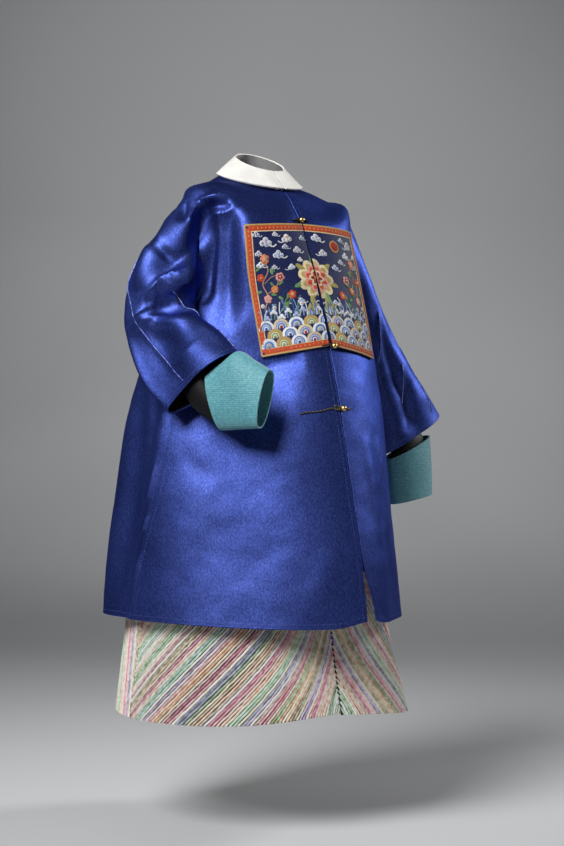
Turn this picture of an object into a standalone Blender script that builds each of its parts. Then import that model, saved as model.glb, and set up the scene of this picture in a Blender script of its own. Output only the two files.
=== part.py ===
"""A quarter-scale court dress: a dark blue satin surcoat worn open-armed over a dragon robe.

The cloth is modelled as thin walls. Sizes are millimetres in the frame of the wearer's neck: +Z up, the
front faces -Y, the wearer's left is +X. The origin is the middle of the neck opening, where the dress hangs.
"""

from math import cos, pi, radians, sin

import bmesh
import bpy
import numpy as np

MM = 0.001  # metres in a millimetre
WALL = 1.0  # cloth with its lining
SEAM_GAP = 0.3  # between two sewn pieces
SIDE_SEAM_GAP = 0.6  # at the side seams, where the wall turns more sharply
ARMHOLE_GAP = 0.75  # between a sleeve and the body, where the cloth turns a corner
FRONT_GAP = 1.8  # between the two fronts, measured on the outside of the fold
LAID_GAP = 0.6  # between a panel and what lies on it

# Body sections, one row from the neck ring down to the hem. Heights are given where the ring crosses the
# side, the front and the back; radii are measured from the wearer's axis at 0, 45, 90, 135 and 180 degrees.
SECTION_COLUMNS = ("z_side", "z_front", "z_back", "front", "front_diagonal", "side", "back_diagonal", "back")
COAT_RIGHT = (
    (0.5, -5, 11, 20, 20, 20, 20, 20),
    (0, -10, 7, 25.5, 28.5, 33, 27, 24),
    (-2.2, -18, -2, 31.5, 37, 44, 34, 29),
    (-7, -27, -14, 37, 45.5, 53, 40, 34),
    (-26, -42, -35, 43, 49.5, 51, 44.5, 38.5),
    (-50, -64, -59, 51.5, 50, 51, 51, 44),
    (-75, -88, -85, 60.5, 51, 55, 59, 50),
    (-105, -114, -112, 68.5, 53, 67, 71, 57),
    (-140, -144, -143, 76, 63, 77, 78.5, 63),
    (-180, -182, -181, 84.5, 72, 83, 84, 69),
    (-220, -220, -220, 93.5, 79, 88, 89.5, 75),
    (-255, -257.5, -255, 98.5, 86, 91, 93, 80),
)
COAT_LEFT = (
    (0.5, -5, 11, 20, 20, 20, 20, 20),
    (-3, -10, 7, 25.5, 28.5, 33, 27, 24),
    (-7, -18, -2, 31.5, 37.5, 45, 34, 29),
    (-9.5, -27, -14, 37, 48, 56.5, 40, 34),
    (-28, -42, -35, 43, 53, 56, 45, 38.5),
    (-54, -64, -59, 51.5, 58.5, 57, 51, 44),
    (-80, -88, -85, 60.5, 64, 61, 57, 50),
    (-107, -114, -112, 68.5, 68.5, 67, 64, 57),
    (-140, -144, -143, 76, 73, 72, 71, 63),
    (-180, -182, -181, 84.5, 77, 75, 77, 69),
    (-220, -220, -220, 93.5, 80, 76, 83, 75),
    (-256, -256, -255, 98.5, 83.5, 77, 87, 80),
)
ROBE_RIGHT = (
    (-1, -7, 8, 17.5, 17.5, 17.5, 17.5, 17.5),
    (-2, -13.5, 2, 22, 25, 29, 24, 21),
    (-6, -22, -11, 28, 33, 40, 30, 26),
    (-13, -32, -22, 33, 41, 47, 36, 30),
    (-32, -47, -40, 38, 44, 46, 40, 34),
    (-52, -66, -61, 43, 45, 46, 45, 39),
    (-71, -88, -85, 48, 46, 48, 49, 43),
    (-110, -118, -116, 53, 48, 58, 57, 48),
    (-155, -160, -158, 56, 56, 67, 66, 54),
    (-210, -210, -210, 60, 66, 75, 74, 61),
    (-262, -262, -262, 65, 74, 80, 78, 68),
    (-313, -314, -314, 74, 82, 87, 84, 75),
)
ROBE_LEFT = (
    (-2, -7, 8, 17.5, 17.5, 17.5, 17.5, 17.5),
    (-6, -13.5, 2, 22, 25, 29, 24, 21),
    (-11, -22, -11, 28, 33, 40, 30, 26),
    (-15.5, -32, -22, 33, 43, 49, 36, 30),
    (-33, -47, -40, 38, 47, 50, 40, 34),
    (-54, -66, -61, 43, 51, 51, 45, 39),
    (-76, -88, -85, 48, 54, 54, 49, 43),
    (-110, -118, -116, 53, 58, 59, 56, 48),
    (-155, -160, -158, 56, 62, 64, 62, 54),
    (-210, -210, -210, 60, 67, 67, 68, 61),
    (-262, -262, -262, 65, 74, 71, 74, 68),
    (-315, -315, -314, 74, 87, 79, 82, 75),
)
SHOULDER_ROW = 3  # the section that carries the top of the armhole
UNDERARM_ROW = 6  # the section that carries its bottom
HEM_ROW = 11

# Folds pressed or hung into the body: place round the side in degrees, half-width in degrees, depth out (+)
# or in (-), and the section rows between which the fold fades in and out.
FOLD_COLUMNS = ("side", "angle", "half_width", "depth", "from_row", "to_row")
COAT_FOLDS = (
    ("right", 61, 8, -3.5, 2.6, 6.8),
    ("right", 47, 9, 1.8, 2.2, 5.5),
    ("right", 118, 9, 2.5, 6.5, 12.5),
    ("right", 137, 8, -2.5, 6.5, 12.5),
    ("right", 160, 8, 2.0, 7.5, 12.5),
    ("left", 62, 7, -2.5, 3.4, 7.5),
    ("left", 24, 9, -1.6, 8.0, 12.5),
    ("left", 122, 9, 2.5, 6.5, 12.5),
    ("left", 143, 8, -2.5, 7.0, 12.5),
)
ROBE_FOLDS = (
    ("right", 128, 9, 2.0, 8.5, 12.5),
    ("left", 122, 9, 2.0, 8.5, 12.5),
)

ARMHOLE_COLUMNS = ("front_degrees", "back_degrees")
COAT_ARMHOLE = (16.0, 18.0)
ROBE_ARMHOLE = (15.0, 16.0)

# The side vents of the surcoat: sewn down to a row, then the back runs under the front.
VENT_TOP_ROW = 7.6
VENT_LAP_DEGREES = 3.0
VENT_DROP = 2.4
# Where the side seam lies at each section row, in degrees from the front.
COAT_SIDE_SEAM = (90, 90, 90, 90, 90, 90, 90, 84, 80, 84, 90, 95)
ROBE_SIDE_SEAM = (90, 90, 90, 90, 90, 90, 90, 92, 94, 96, 98, 99)
# The hem lifts towards the centre front: how far, over how many degrees.
LIFT_COLUMNS = ("height", "half_width")
COAT_HEM_LIFT = (3.5, 7.0)
ROBE_HEM_LIFT = (5.5, 38.0)
LIFT_FROM_ROW = 10.0

# Sleeve rings from the armhole to the mouth: the outer fold, the inner fold and half the thickness between.
RING_COLUMNS = ("outer_x", "outer_y", "outer_z", "inner_x", "inner_y", "inner_z", "half_thickness")
COAT_SLEEVE_RIGHT = (
    (-62, 9, -24, -59, -13, -74.5, 14.5),
    (-74, 17.5, -47, -62.5, -18, -77, 14.5),
    (-84, 20, -70, -65, -23, -79.5, 14),
    (-88.5, 12, -92, -66.5, -28, -82, 13.5),
    (-90, -2, -113, -66.5, -34, -86.5, 13),
    (-89.5, -15, -127, -65, -43, -92, 12.5),
    (-87.5, -28, -137.2, -61.6, -58.5, -102.6, 12),
)
COAT_SLEEVE_LEFT = (
    (67.5, 1, -20, 64.5, -2, -86, 14),
    (77.5, 0, -44, 67.5, -5, -97, 14),
    (88.5, -2, -69, 70.5, -7, -111, 13.5),
    (104, -5, -96, 74, -9, -128, 13),
    (119, -8, -117, 78, -11, -146, 12.5),
    (133.6, -10, -137, 82, -13, -163, 12),
)
ROBE_SLEEVE_RIGHT = (
    (-60, 6, -30, -59, -9, -61, 8.5),
    (-75.5, 9.5, -57, -67.5, -14, -67, 8),
    (-85, 6, -86, -71.5, -17, -79, 8),
    (-84, -9, -111, -73, -30, -91, 7.5),
    (-80.8, -26, -128, -73.8, -40.5, -104.5, 6.6),
    (-67, -49, -145, -72, -44.8, -117.5, 6),
)
ROBE_SLEEVE_LEFT = (
    (64, 0, -31, 60, -3, -68, 9.5),
    (75, -0.5, -57, 67, -4.5, -88, 9.5),
    (87, -3.5, -87, 75, -7.5, -110, 9),
    (102, -7, -117, 84, -10, -135, 8),
    (115, -10, -141, 91, -12, -156, 7),
    (121, -12, -157.5, 91, -12.3, -170, 6),
)
CUFF_RIGHT = (
    (-66, -50, -147, -72.5, -45, -115, 8),
    (-64.5, -56.5, -146.8, -68, -53.5, -108.8, 8.4),
    (-62.7, -62.7, -146.4, -63.6, -62, -102.8, 8.6),
    (-60.7, -68.7, -146.1, -58.7, -70.2, -108, 8.4),
    (-58.8, -74.6, -145.8, -53.7, -78.6, -113.5, 8),
)
CUFF_LEFT = (
    (122.5, -12, -150.5, 88.5, -12, -165.5, 8),
    (123.5, -12, -163.5, 89.5, -12.2, -175.5, 8.3),
    (124.2, -12, -177, 90.4, -12.3, -185, 8.3),
    (124.4, -12, -187.5, 91.4, -12.5, -193.5, 8),
)
# Folds across and along the sleeves: the turn round the sleeve in degrees (0 outer fold, 90 front), its
# half-width, the depth out (+) or in (-), and the rings between which the fold lies and fades.
SLEEVE_FOLD_COLUMNS = ("turn", "half_turn", "depth", "ring", "half_rings")
SLEEVE_FOLDS_RIGHT = (
    (125, 30, -6.5, 3.3, 0.6),
    (75, 42, -3.2, 3.2, 0.5),
    (122, 14, 3.4, 1.3, 1.2),
    (92, 14, -3.6, 1.3, 1.3),
    (60, 16, 2.4, 1.6, 1.3),
    (30, 11, 2.6, 5.6, 2.4),
    (255, 40, -3.0, 3.3, 0.7),
)
SLEEVE_FOLDS_LEFT = (
    (95, 16, -2.6, 4.6, 1.9),
    (60, 16, 1.6, 3.6, 1.8),
    (270, 22, -2.0, 3.6, 1.9),
)
ROBE_SLEEVE_FOLDS_RIGHT = (
    (125, 34, -4.0, 3.0, 0.8),
    (90, 45, -3.0, 2.2, 1.4),
)
OUTER_CREASE = 1.35  # 1 is a round fold, 2 a sharp one
INNER_CREASE = 1.3
CUFF_CREASE = 0.75

# Stiff white collar, a cone whose rings lean forward with the neck.
COLLAR_COLUMNS = ("radius", "height", "lean_degrees", "set_back", "back_drop")
COLLAR_RINGS = (
    (26.4, 3.2, 16.0, 2.5, 5.5),
    (22.8, 6.6, 19.0, 2.4, 3.6),
    (18.8, 10.4, 22.0, 2.2, 1.6),
    (15.2, 13.8, 25.5, 2.0, 0.0),
)
COLLAR_DROP_FROM = 118.0  # degrees round from the front; behind here the collar reaches lower
COLLAR_HALF_GAP_DEGREES = 1.6
COLLAR_WALL = 0.9

# Rank badge: two halves that meet on the front edges, level at the top and longer at the outer edges.
BADGE_WIDTH = 41.0
BADGE_TOP = -27.0
BADGE_BOTTOM = -99.0
BADGE_TOP_FALL = 2.0
BADGE_BOTTOM_FALL = 6.5
BADGE_THICKNESS = 1.0
BADGE_EDGE_INSET = 0.9

BUTTON_RADIUS = 1.7
BUTTON_SEAT = 0.4  # how far a ball stands off the edges that it closes
BADGE_BUTTON = 1  # the button that sits on the badge
BUTTON_HEIGHTS = (-24.0, -98.5, -134.5)
CORD_DIAMETER = 0.9
CORD_SIDES = 8
CORD_SEAT = 0.45
LONG_FROG = 2  # the frog whose two cords run out across the fronts
FROG_REACH = {"right": 24.0, "left": 9.0}
FROG_START = {"right": 2.3, "left": 3.5}
SHORT_FROG_REACH = 5.5

COLUMNS_FRONT = 10
COLUMNS_BACK = 9
ROWS_NECK, ROWS_ARMHOLE, ROWS_SKIRT = 4, 12, 12
ROBE_COLUMNS_FRONT = 7
ROBE_COLUMNS_BACK = 6
ROBE_ROWS_NECK, ROBE_ROWS_ARMHOLE, ROBE_ROWS_SKIRT = 3, 10, 7


# ---------------------------------------------------------------- curves and sections

def hermite(first, last, first_slope, last_slope, t):
    """The cubic between two values with the given slopes, at t from 0 to 1."""
    h = t * t * (3 - 2 * t)
    return (first * (1 - h) + last * h
            + first_slope * t * (1 - t) ** 2 - last_slope * t * t * (1 - t))


def smooth(values, at):
    """A smooth curve through rows of values, read at positions counted in rows."""
    values = np.asarray(values, float)
    at = np.clip(np.asarray(at, float), 0, len(values) - 1)
    row = np.minimum(at.astype(int), len(values) - 2)
    t = (at - row).reshape(at.shape + (1,) * (values.ndim - 1))
    slopes = np.gradient(values, axis=0)
    return hermite(values[row], values[row + 1], slopes[row], slopes[row + 1], t)


def smooth_each(values, at):
    """Like smooth, but every sample has its own row of values."""
    at = np.clip(at, 0, values.shape[-1] - 1)
    cell = np.minimum(at.astype(int), values.shape[-1] - 2)
    slopes = np.gradient(values, axis=-1)

    def pick(table, where):
        return np.take_along_axis(table, where[..., None], -1)[..., 0]

    return hermite(pick(values, cell), pick(values, cell + 1),
                   pick(slopes, cell), pick(slopes, cell + 1), at - cell)


def ease(low, high, x):
    """0 below low, 1 above high, smooth between."""
    t = np.clip((np.asarray(x, float) - low) / (high - low), 0, 1)
    return t * t * (3 - 2 * t)


def fold_depth(folds, side, degrees, row):
    """How far the folds of one side push the cloth out at an angle and row."""
    total = np.zeros(np.broadcast(degrees, row).shape)
    for fold in folds:
        fold = dict(zip(FOLD_COLUMNS, fold))
        if fold["side"] != side:
            continue
        across = np.exp(-((degrees - fold["angle"]) / fold["half_width"]) ** 2)
        fade = 0.35 * (fold["to_row"] - fold["from_row"])
        along = ease(fold["from_row"], fold["from_row"] + fade, row)
        along = along * (1 - ease(fold["to_row"] - fade, fold["to_row"], row))
        total = total + fold["depth"] * across * along
    return total


def body_point(sections, folds, side, degrees, row, push=0.0):
    """Points on one side of the body: degrees round from the front (0) to the back (180), row down."""
    degrees, row = np.broadcast_arrays(np.asarray(degrees, float), np.asarray(row, float))
    column = dict(zip(SECTION_COLUMNS, np.moveaxis(smooth(sections, row), -1, 0)))
    radii = [column[n] for n in ("front", "front_diagonal", "side", "back_diagonal", "back")]
    radii.append(column["back_diagonal"])
    radius = smooth_each(np.stack(radii, -1), np.abs(degrees) / 45)
    radius = radius + fold_depth(folds, side, degrees, row) + push
    turn = np.radians(degrees)
    toward_end = 1 - np.sin(turn) ** 4
    end_height = np.where(degrees < 90, column["z_front"], column["z_back"])
    height = column["z_side"] + (end_height - column["z_side"]) * toward_end
    across = radius * np.sin(turn) * (-1 if side == "right" else 1)
    return np.stack([across, -radius * np.cos(turn), height], -1)


def row_list(neck, armhole, skirt):
    """Rows of a body grid, closer together at both ends of the armhole."""
    middle = (SHOULDER_ROW + UNDERARM_ROW) / 2
    half = (UNDERARM_ROW - SHOULDER_ROW) / 2
    above = np.linspace(0, SHOULDER_ROW, neck + 1)
    beside = middle - half * np.cos(np.linspace(0, pi, armhole + 1))
    below = np.linspace(UNDERARM_ROW, HEM_ROW, skirt + 1)
    return np.concatenate([above, beside[1:], below[1:]])


def armhole_reach(row, degrees):
    """How far the armhole bites into a panel at a row."""
    middle = (SHOULDER_ROW + UNDERARM_ROW) / 2
    half = (UNDERARM_ROW - SHOULDER_ROW) / 2
    return degrees * np.sqrt(np.clip(1 - ((row - middle) / half) ** 2, 0, 1))


# ---------------------------------------------------------------- solids from grids

def grid_mesh(points, flip=False):
    """A sheet of quads through rows of points; edges that meet are sewn together."""
    rows, columns = points.shape[:2]
    mesh = bmesh.new()
    bmesh.ops.create_grid(mesh, x_segments=columns - 1, y_segments=rows - 1, size=0.5)
    for vertex in mesh.verts:
        column = round((vertex.co.x + 0.5) * (columns - 1))
        row = round((vertex.co.y + 0.5) * (rows - 1))
        vertex.co = points[row, column] * MM
    if flip:
        bmesh.ops.reverse_faces(mesh, faces=mesh.faces)
    return mesh


def sewn(meshes):
    """Several sheets as one mesh, with the vertices that coincide merged."""
    joined = bmesh.new()
    for mesh in meshes:
        holder = bpy.data.meshes.new("sheet")
        mesh.to_mesh(holder)
        mesh.free()
        joined.from_mesh(holder)
        bpy.data.meshes.remove(holder)
    bmesh.ops.remove_doubles(joined, verts=joined.verts, dist=0.02 * MM)
    return joined


def add_object(name, mesh, material, wall=None):
    """An object of the dress with its material and, for a sheet, the thickness of its cloth."""
    data = bpy.data.meshes.new(name)
    mesh.to_mesh(data)
    mesh.free()
    data.materials.append(material)
    data.shade_smooth()
    data.set_sharp_from_angle(angle=radians(50))
    thing = bpy.data.objects.new(name, data)
    DRESS.objects.link(thing)
    if wall:
        solid = thing.modifiers.new("wall", "SOLIDIFY")
        solid.thickness = wall * MM
        solid.offset = -1
        solid.use_even_offset = True
        solid.thickness_clamp = 0
    return thing


def new_material(name, colour, roughness, metallic=0.0, sheen=0.0):
    material = bpy.data.materials.new(name)
    material.use_nodes = True
    shader = material.node_tree.nodes["Principled BSDF"]
    shader.inputs["Base Color"].default_value = (*colour, 1)
    shader.inputs["Roughness"].default_value = roughness
    shader.inputs["Metallic"].default_value = metallic
    shader.inputs["Sheen Weight"].default_value = sheen
    return material


# ---------------------------------------------------------------- the garments

def body_half(name, side, sections, folds, armhole, rows, columns, gaps, side_seam, lift, vent, material):
    """One half of a robe, cut in one from the front hem over the shoulder to the back hem."""
    front_columns, back_columns = columns
    bite = dict(zip(ARMHOLE_COLUMNS, armhole))
    row = rows[:, None]
    seam = smooth(side_seam, rows)[:, None]
    slit = np.where(row >= UNDERARM_ROW, 1.0, 0.0)
    radius_front = smooth(sections, rows)[:, 3][:, None]
    radius_back = smooth(sections, rows)[:, 7][:, None]
    start = np.degrees(gaps["front"](row) / radius_front)
    finish = 180 - np.degrees(gaps["back"] / radius_back)
    seam_half = np.degrees(SIDE_SEAM_GAP / 2 / smooth(sections, rows)[:, 5][:, None]) * slit
    front_edge = seam - armhole_reach(row, bite["front_degrees"]) - seam_half
    back_edge = seam + armhole_reach(row, bite["back_degrees"]) + seam_half
    lap = ease(VENT_TOP_ROW - 0.6, VENT_TOP_ROW + 0.4, row) if vent else 0 * row
    back_edge = back_edge - VENT_LAP_DEGREES * lap
    forward = np.linspace(0, 1, front_columns + 1)[None, :]
    backward = np.linspace(0, 1, back_columns + 1)[None, :]
    front_degrees = start + (front_edge - start) * forward
    back_degrees = back_edge + (finish - back_edge) * backward
    sunk = ease(VENT_TOP_ROW - 1.2, VENT_TOP_ROW - 0.5, row) if vent else 0 * row
    sink = -VENT_DROP * sunk * np.exp(-((back_degrees - seam) / 16) ** 2)
    front = body_point(sections, folds, side, front_degrees, row)
    rise = dict(zip(LIFT_COLUMNS, lift))
    near_front = np.exp(-(front_degrees / rise["half_width"]) ** 2)
    front[..., 2] += rise["height"] * near_front * ease(LIFT_FROM_ROW, HEM_ROW, row) ** 2
    back = body_point(sections, folds, side, back_degrees, row, sink)
    flip = side == "left"
    return add_object(name, sewn([grid_mesh(front, flip), grid_mesh(back, flip)]), material, WALL)


def armhole_ring(side, sections, folds, armhole, turns):
    """The edge of the armhole as the sleeve meets it, from the shoulder round by the front."""
    bite = dict(zip(ARMHOLE_COLUMNS, armhole))
    middle = (SHOULDER_ROW + UNDERARM_ROW) / 2
    half = (UNDERARM_ROW - SHOULDER_ROW) / 2
    row = middle - half * np.cos(turns)
    reach = np.where(np.sin(turns) > 0, bite["front_degrees"], bite["back_degrees"])
    ring = body_point(sections, folds, side, 90 - reach * np.sin(turns), row)
    return ring + np.array([-1, 0, 0]) * ARMHOLE_GAP * (1 if side == "right" else -1)


def sleeve_rings(first, table, turns, creases, front_sign, straight=0):
    """Rings of a sleeve, each a flattened loop between its outer and inner folds.

    A sleeve starts from the armhole's own edge, and behind the arm its first loops run straight.
    """
    rings = np.array(table, float)
    outer, inner, thick = rings[:, 0:3], rings[:, 3:6], rings[:, 6]
    middle = (outer + inner) / 2
    if first is not None:
        path = np.gradient(np.vstack([first.mean(0), middle]), axis=0)[1:]
    else:
        path = np.gradient(middle, axis=0)
    face = np.cross(outer - inner, path)
    face *= front_sign / np.linalg.norm(face, axis=1)[:, None]
    outer_crease, inner_crease = creases
    bend = inner_crease + (outer_crease - inner_crease) * (1 + np.cos(turns)) / 2
    bulge = np.sign(np.sin(turns)) * np.abs(np.sin(turns)) ** bend
    loops = (middle[:, None] + (outer - inner)[:, None] / 2 * np.cos(turns)[None, :, None]
             + face[:, None] * (thick[:, None] * bulge[None, :])[..., None])
    if first is None:
        return loops
    around = np.degrees(turns)
    behind = (ease(165, 205, around) * (1 - ease(240, 330, around)))[:, None]
    for index in range(straight):
        ruled = first + (loops[straight] - first) * (index + 1) / (straight + 1)
        loops[index] += behind * (ruled - loops[index])
    return np.concatenate([first[None], loops])


def folded(points, at, turns, folds):
    """The sheet of a sleeve with its folds, each fading out round it and along it."""
    outward = points - points[:, :-1].mean(1)[:, None]
    outward /= np.linalg.norm(outward, axis=2)[..., None]
    for row in folds:
        fold = dict(zip(SLEEVE_FOLD_COLUMNS, row))
        away = (np.degrees(turns)[None] - fold["turn"]) / fold["half_turn"]
        along = (at[:, None] - fold["ring"]) / fold["half_rings"]
        clear_of_seam = ease(0, 0.5, at)[:, None]
        depth = fold["depth"] * clear_of_seam * np.exp(-away ** 2 - along ** 2)
        points = points + outward * depth[..., None]
    return points


def tube(name, rings, count, turns, folds, material, flip):
    """A sleeve or cuff: a sheet through its rings, closed round the arm and open at both ends."""
    at = np.linspace(0, len(rings) - 1, count)
    points = folded(smooth(rings, at), at, turns, folds)
    points[:, -1] = points[:, 0]
    return add_object(name, sewn([grid_mesh(points, flip)]), material, WALL)


def sleeve(name, side, body, table, folds, armpit, segments, count, material):
    """A sleeve from its armhole to its mouth.

    The armpit says how far the inner fold is turned round the armhole, and how many rings run straight there.
    """
    twist, straight = armpit
    turns = np.linspace(0, 2 * pi, segments + 1)
    first = armhole_ring(side, *body, turns - radians(twist))
    front_sign = 1 if side == "right" else -1
    rings = sleeve_rings(first, table, turns, (OUTER_CREASE, INNER_CREASE), front_sign, straight)
    return tube(name, rings, count, turns, folds, material, side == "right")


def cuff(name, side, table, material):
    turns = np.linspace(0, 2 * pi, 17)
    front_sign = 1 if side == "right" else -1
    rings = sleeve_rings(None, table, turns, (CUFF_CREASE, CUFF_CREASE), front_sign)
    return tube(name, rings, len(table), turns, (), material, side == "right")


def collar_half(name, side, material):
    """Half of the stiff collar, from the front opening round to the centre back."""
    sign = -1 if side == "right" else 1
    turns = np.radians(np.linspace(COLLAR_HALF_GAP_DEGREES, 180 - COLLAR_HALF_GAP_DEGREES / 2, 15))
    rings = []
    for row in COLLAR_RINGS:
        ring = dict(zip(COLLAR_COLUMNS, row))
        lean = radians(ring["lean_degrees"])
        across, forward = ring["radius"] * np.sin(turns), -ring["radius"] * np.cos(turns)
        drop = ring["back_drop"] * ease(COLLAR_DROP_FROM, 180, np.degrees(turns))
        rings.append(np.stack([sign * across, forward * cos(lean) + ring["set_back"],
                               ring["height"] + forward * sin(lean) - drop], -1))
    rings = np.array(rings)
    return add_object(name, sewn([grid_mesh(rings, side == "right")]), material, COLLAR_WALL)


def across_front(side, across, height):
    """The point of the coat front at a distance from the centre front, measured along the cloth."""
    sections = COAT_RIGHT if side == "right" else COAT_LEFT
    rows = np.linspace(1.5, 9, 151)
    degrees = np.linspace(0, 75, 76)
    sheet = body_point(sections, COAT_FOLDS, side, degrees[None, :], rows[:, None])
    steps = np.linalg.norm(np.diff(sheet, axis=1), axis=2)
    length = np.concatenate([np.zeros((len(rows), 1)), np.cumsum(steps, 1)], 1)
    spot = np.array([np.interp(across, line, degrees) for line in length])
    column = body_point(sections, COAT_FOLDS, side, spot, rows)
    row = np.interp(-height, -column[:, 2], rows)
    return np.interp(row, rows, spot), row


def laid_point(side, across, height, lift):
    """A point lifted off the coat front, with the outward direction there."""
    sections = COAT_RIGHT if side == "right" else COAT_LEFT
    degrees, row = across_front(side, across, height)
    here = body_point(sections, COAT_FOLDS, side, degrees, row)
    round_by = body_point(sections, COAT_FOLDS, side, degrees + 0.5, row) - here
    down_by = body_point(sections, COAT_FOLDS, side, degrees, row + 0.02) - here
    outward = np.cross(down_by, round_by) * (-1 if side == "right" else 1)
    outward /= np.linalg.norm(outward)
    if outward[1] > 0:
        outward = -outward
    return here + outward * lift


def badge_half(name, side, material):
    """Half of the rank badge, laid on the coat front."""
    grid = []
    for down in np.linspace(0, 1, 12):
        line = []
        for out in np.linspace(0, 1, 10):
            across = BADGE_EDGE_INSET + (BADGE_WIDTH - BADGE_EDGE_INSET) * out
            top = BADGE_TOP - BADGE_TOP_FALL * out
            bottom = BADGE_BOTTOM - BADGE_BOTTOM_FALL * out
            line.append(laid_point(side, across, top + (bottom - top) * down, LAID_GAP + BADGE_THICKNESS))
        grid.append(line)
    return add_object(name, sewn([grid_mesh(np.array(grid), side == "left")]), material, BADGE_THICKNESS)


def button(name, index, material):
    """A ball button on the front edge."""
    base = LAID_GAP + BADGE_THICKNESS if index == BADGE_BUTTON else 0.0
    lift = base + BUTTON_RADIUS + BUTTON_SEAT
    centre = laid_point("right", 0.0, BUTTON_HEIGHTS[index], 0) + np.array([0.6, -lift, 0])
    mesh = bmesh.new()
    bmesh.ops.create_uvsphere(mesh, u_segments=12, v_segments=7, radius=BUTTON_RADIUS * MM)
    bmesh.ops.translate(mesh, verts=mesh.verts, vec=centre * MM)
    return add_object(name, mesh, material)


def cord(name, points, material):
    """A round cord through points, with closed ends."""
    points = np.array(points)
    path = np.gradient(points, axis=0)
    path /= np.linalg.norm(path, axis=1)[:, None]
    aside = np.cross(path, (0, 0, 1))
    aside /= np.linalg.norm(aside, axis=1)[:, None]
    above = np.cross(aside, path)
    turns = np.linspace(0, 2 * pi, CORD_SIDES + 1)[None, :, None]
    rings = points[:, None] + CORD_DIAMETER / 2 * (np.cos(turns) * aside[:, None] + np.sin(turns) * above[:, None])
    mesh = sewn([grid_mesh(rings, True)])
    bmesh.ops.holes_fill(mesh, edges=mesh.edges)
    bmesh.ops.recalc_face_normals(mesh, faces=mesh.faces)
    return add_object(name, mesh, material)


def frog(name, side, index, material):
    """The cord of a frog on one front, from near the button outward."""
    reach = FROG_REACH[side] if index == LONG_FROG else SHORT_FROG_REACH
    base = LAID_GAP + BADGE_THICKNESS + SEAM_GAP if index == BADGE_BUTTON else CORD_SEAT
    lift = base + CORD_DIAMETER / 2
    height = BUTTON_HEIGHTS[index]
    near = FROG_START[side]
    fall = 3.5 if side == "right" and index == LONG_FROG else 0.5
    stations = np.linspace(0, 1, 9 if index == LONG_FROG else 4)
    points = [laid_point(side, near + (reach - near) * s, height - fall * s, lift) for s in stations]
    return cord(name, points, material)


# ---------------------------------------------------------------- the dress

for old in list(bpy.data.objects):
    bpy.data.objects.remove(old)

DRESS = bpy.data.collections.new("dragon_robe_with_surcoat")
bpy.context.scene.collection.children.link(DRESS)

blue_satin = new_material("blue_satin", (0.024, 0.036, 0.19), 0.42, sheen=0.2)
black_silk = new_material("black_silk", (0.006, 0.006, 0.009), 0.6)
striped_cord = new_material("striped_couched_cord", (0.62, 0.44, 0.38), 0.8)
turquoise_silk = new_material("turquoise_silk", (0.07, 0.31, 0.35), 0.7)
white_linen = new_material("white_stiffened_linen", (0.78, 0.76, 0.70), 0.7)
embroidery = new_material("embroidered_silk", (0.55, 0.12, 0.04), 0.65)
gilt_brass = new_material("gilt_brass", (0.83, 0.58, 0.22), 0.25, metallic=1.0)
black_cord = new_material("black_silk_cord", (0.01, 0.01, 0.014), 0.6)


def left_front_gap(row):
    """The left front's edge swings away from the right one near the hem."""
    return FRONT_GAP / 2 + 7.5 * ease(9.6, HEM_ROW, row) ** 2


def even_gap(width):
    return lambda row: width + 0 * row


coat_rows = row_list(ROWS_NECK, ROWS_ARMHOLE, ROWS_SKIRT)
robe_rows = row_list(ROBE_ROWS_NECK, ROBE_ROWS_ARMHOLE, ROBE_ROWS_SKIRT)
coat_right_gaps = {"front": even_gap(FRONT_GAP / 2), "back": SEAM_GAP / 2}
coat_left_gaps = {"front": left_front_gap, "back": SEAM_GAP / 2}
robe_gaps = {"front": even_gap(0.5), "back": SEAM_GAP / 2}

body_half("coat_right", "right", COAT_RIGHT, COAT_FOLDS, COAT_ARMHOLE, coat_rows,
          (COLUMNS_FRONT, COLUMNS_BACK), coat_right_gaps, COAT_SIDE_SEAM, COAT_HEM_LIFT, True, blue_satin)
body_half("coat_left", "left", COAT_LEFT, COAT_FOLDS, COAT_ARMHOLE, coat_rows,
          (COLUMNS_FRONT, COLUMNS_BACK), coat_left_gaps, COAT_SIDE_SEAM, COAT_HEM_LIFT, True, blue_satin)
sleeve("coat_sleeve_right", "right", (COAT_RIGHT, COAT_FOLDS, COAT_ARMHOLE),
       COAT_SLEEVE_RIGHT, SLEEVE_FOLDS_RIGHT, (30.0, 3), 48, 17, blue_satin)
sleeve("coat_sleeve_left", "left", (COAT_LEFT, COAT_FOLDS, COAT_ARMHOLE),
       COAT_SLEEVE_LEFT, SLEEVE_FOLDS_LEFT, (0.0, 0), 24, 13, blue_satin)
body_half("robe_right", "right", ROBE_RIGHT, ROBE_FOLDS, ROBE_ARMHOLE, robe_rows,
          (ROBE_COLUMNS_FRONT, ROBE_COLUMNS_BACK), robe_gaps, ROBE_SIDE_SEAM, ROBE_HEM_LIFT, False, striped_cord)
body_half("robe_left", "left", ROBE_LEFT, ROBE_FOLDS, ROBE_ARMHOLE, robe_rows,
          (ROBE_COLUMNS_FRONT, ROBE_COLUMNS_BACK), robe_gaps, ROBE_SIDE_SEAM, ROBE_HEM_LIFT, False, striped_cord)
sleeve("robe_sleeve_right", "right", (ROBE_RIGHT, ROBE_FOLDS, ROBE_ARMHOLE),
       ROBE_SLEEVE_RIGHT, ROBE_SLEEVE_FOLDS_RIGHT, (18.0, 1), 20, 12, black_silk)
sleeve("robe_sleeve_left", "left", (ROBE_LEFT, ROBE_FOLDS, ROBE_ARMHOLE),
       ROBE_SLEEVE_LEFT, (), (0.0, 0), 20, 9, black_silk)
cuff("cuff_right", "right", CUFF_RIGHT, turquoise_silk)
cuff("cuff_left", "left", CUFF_LEFT, turquoise_silk)
collar_half("collar_right", "right", white_linen)
collar_half("collar_left", "left", white_linen)
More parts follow.
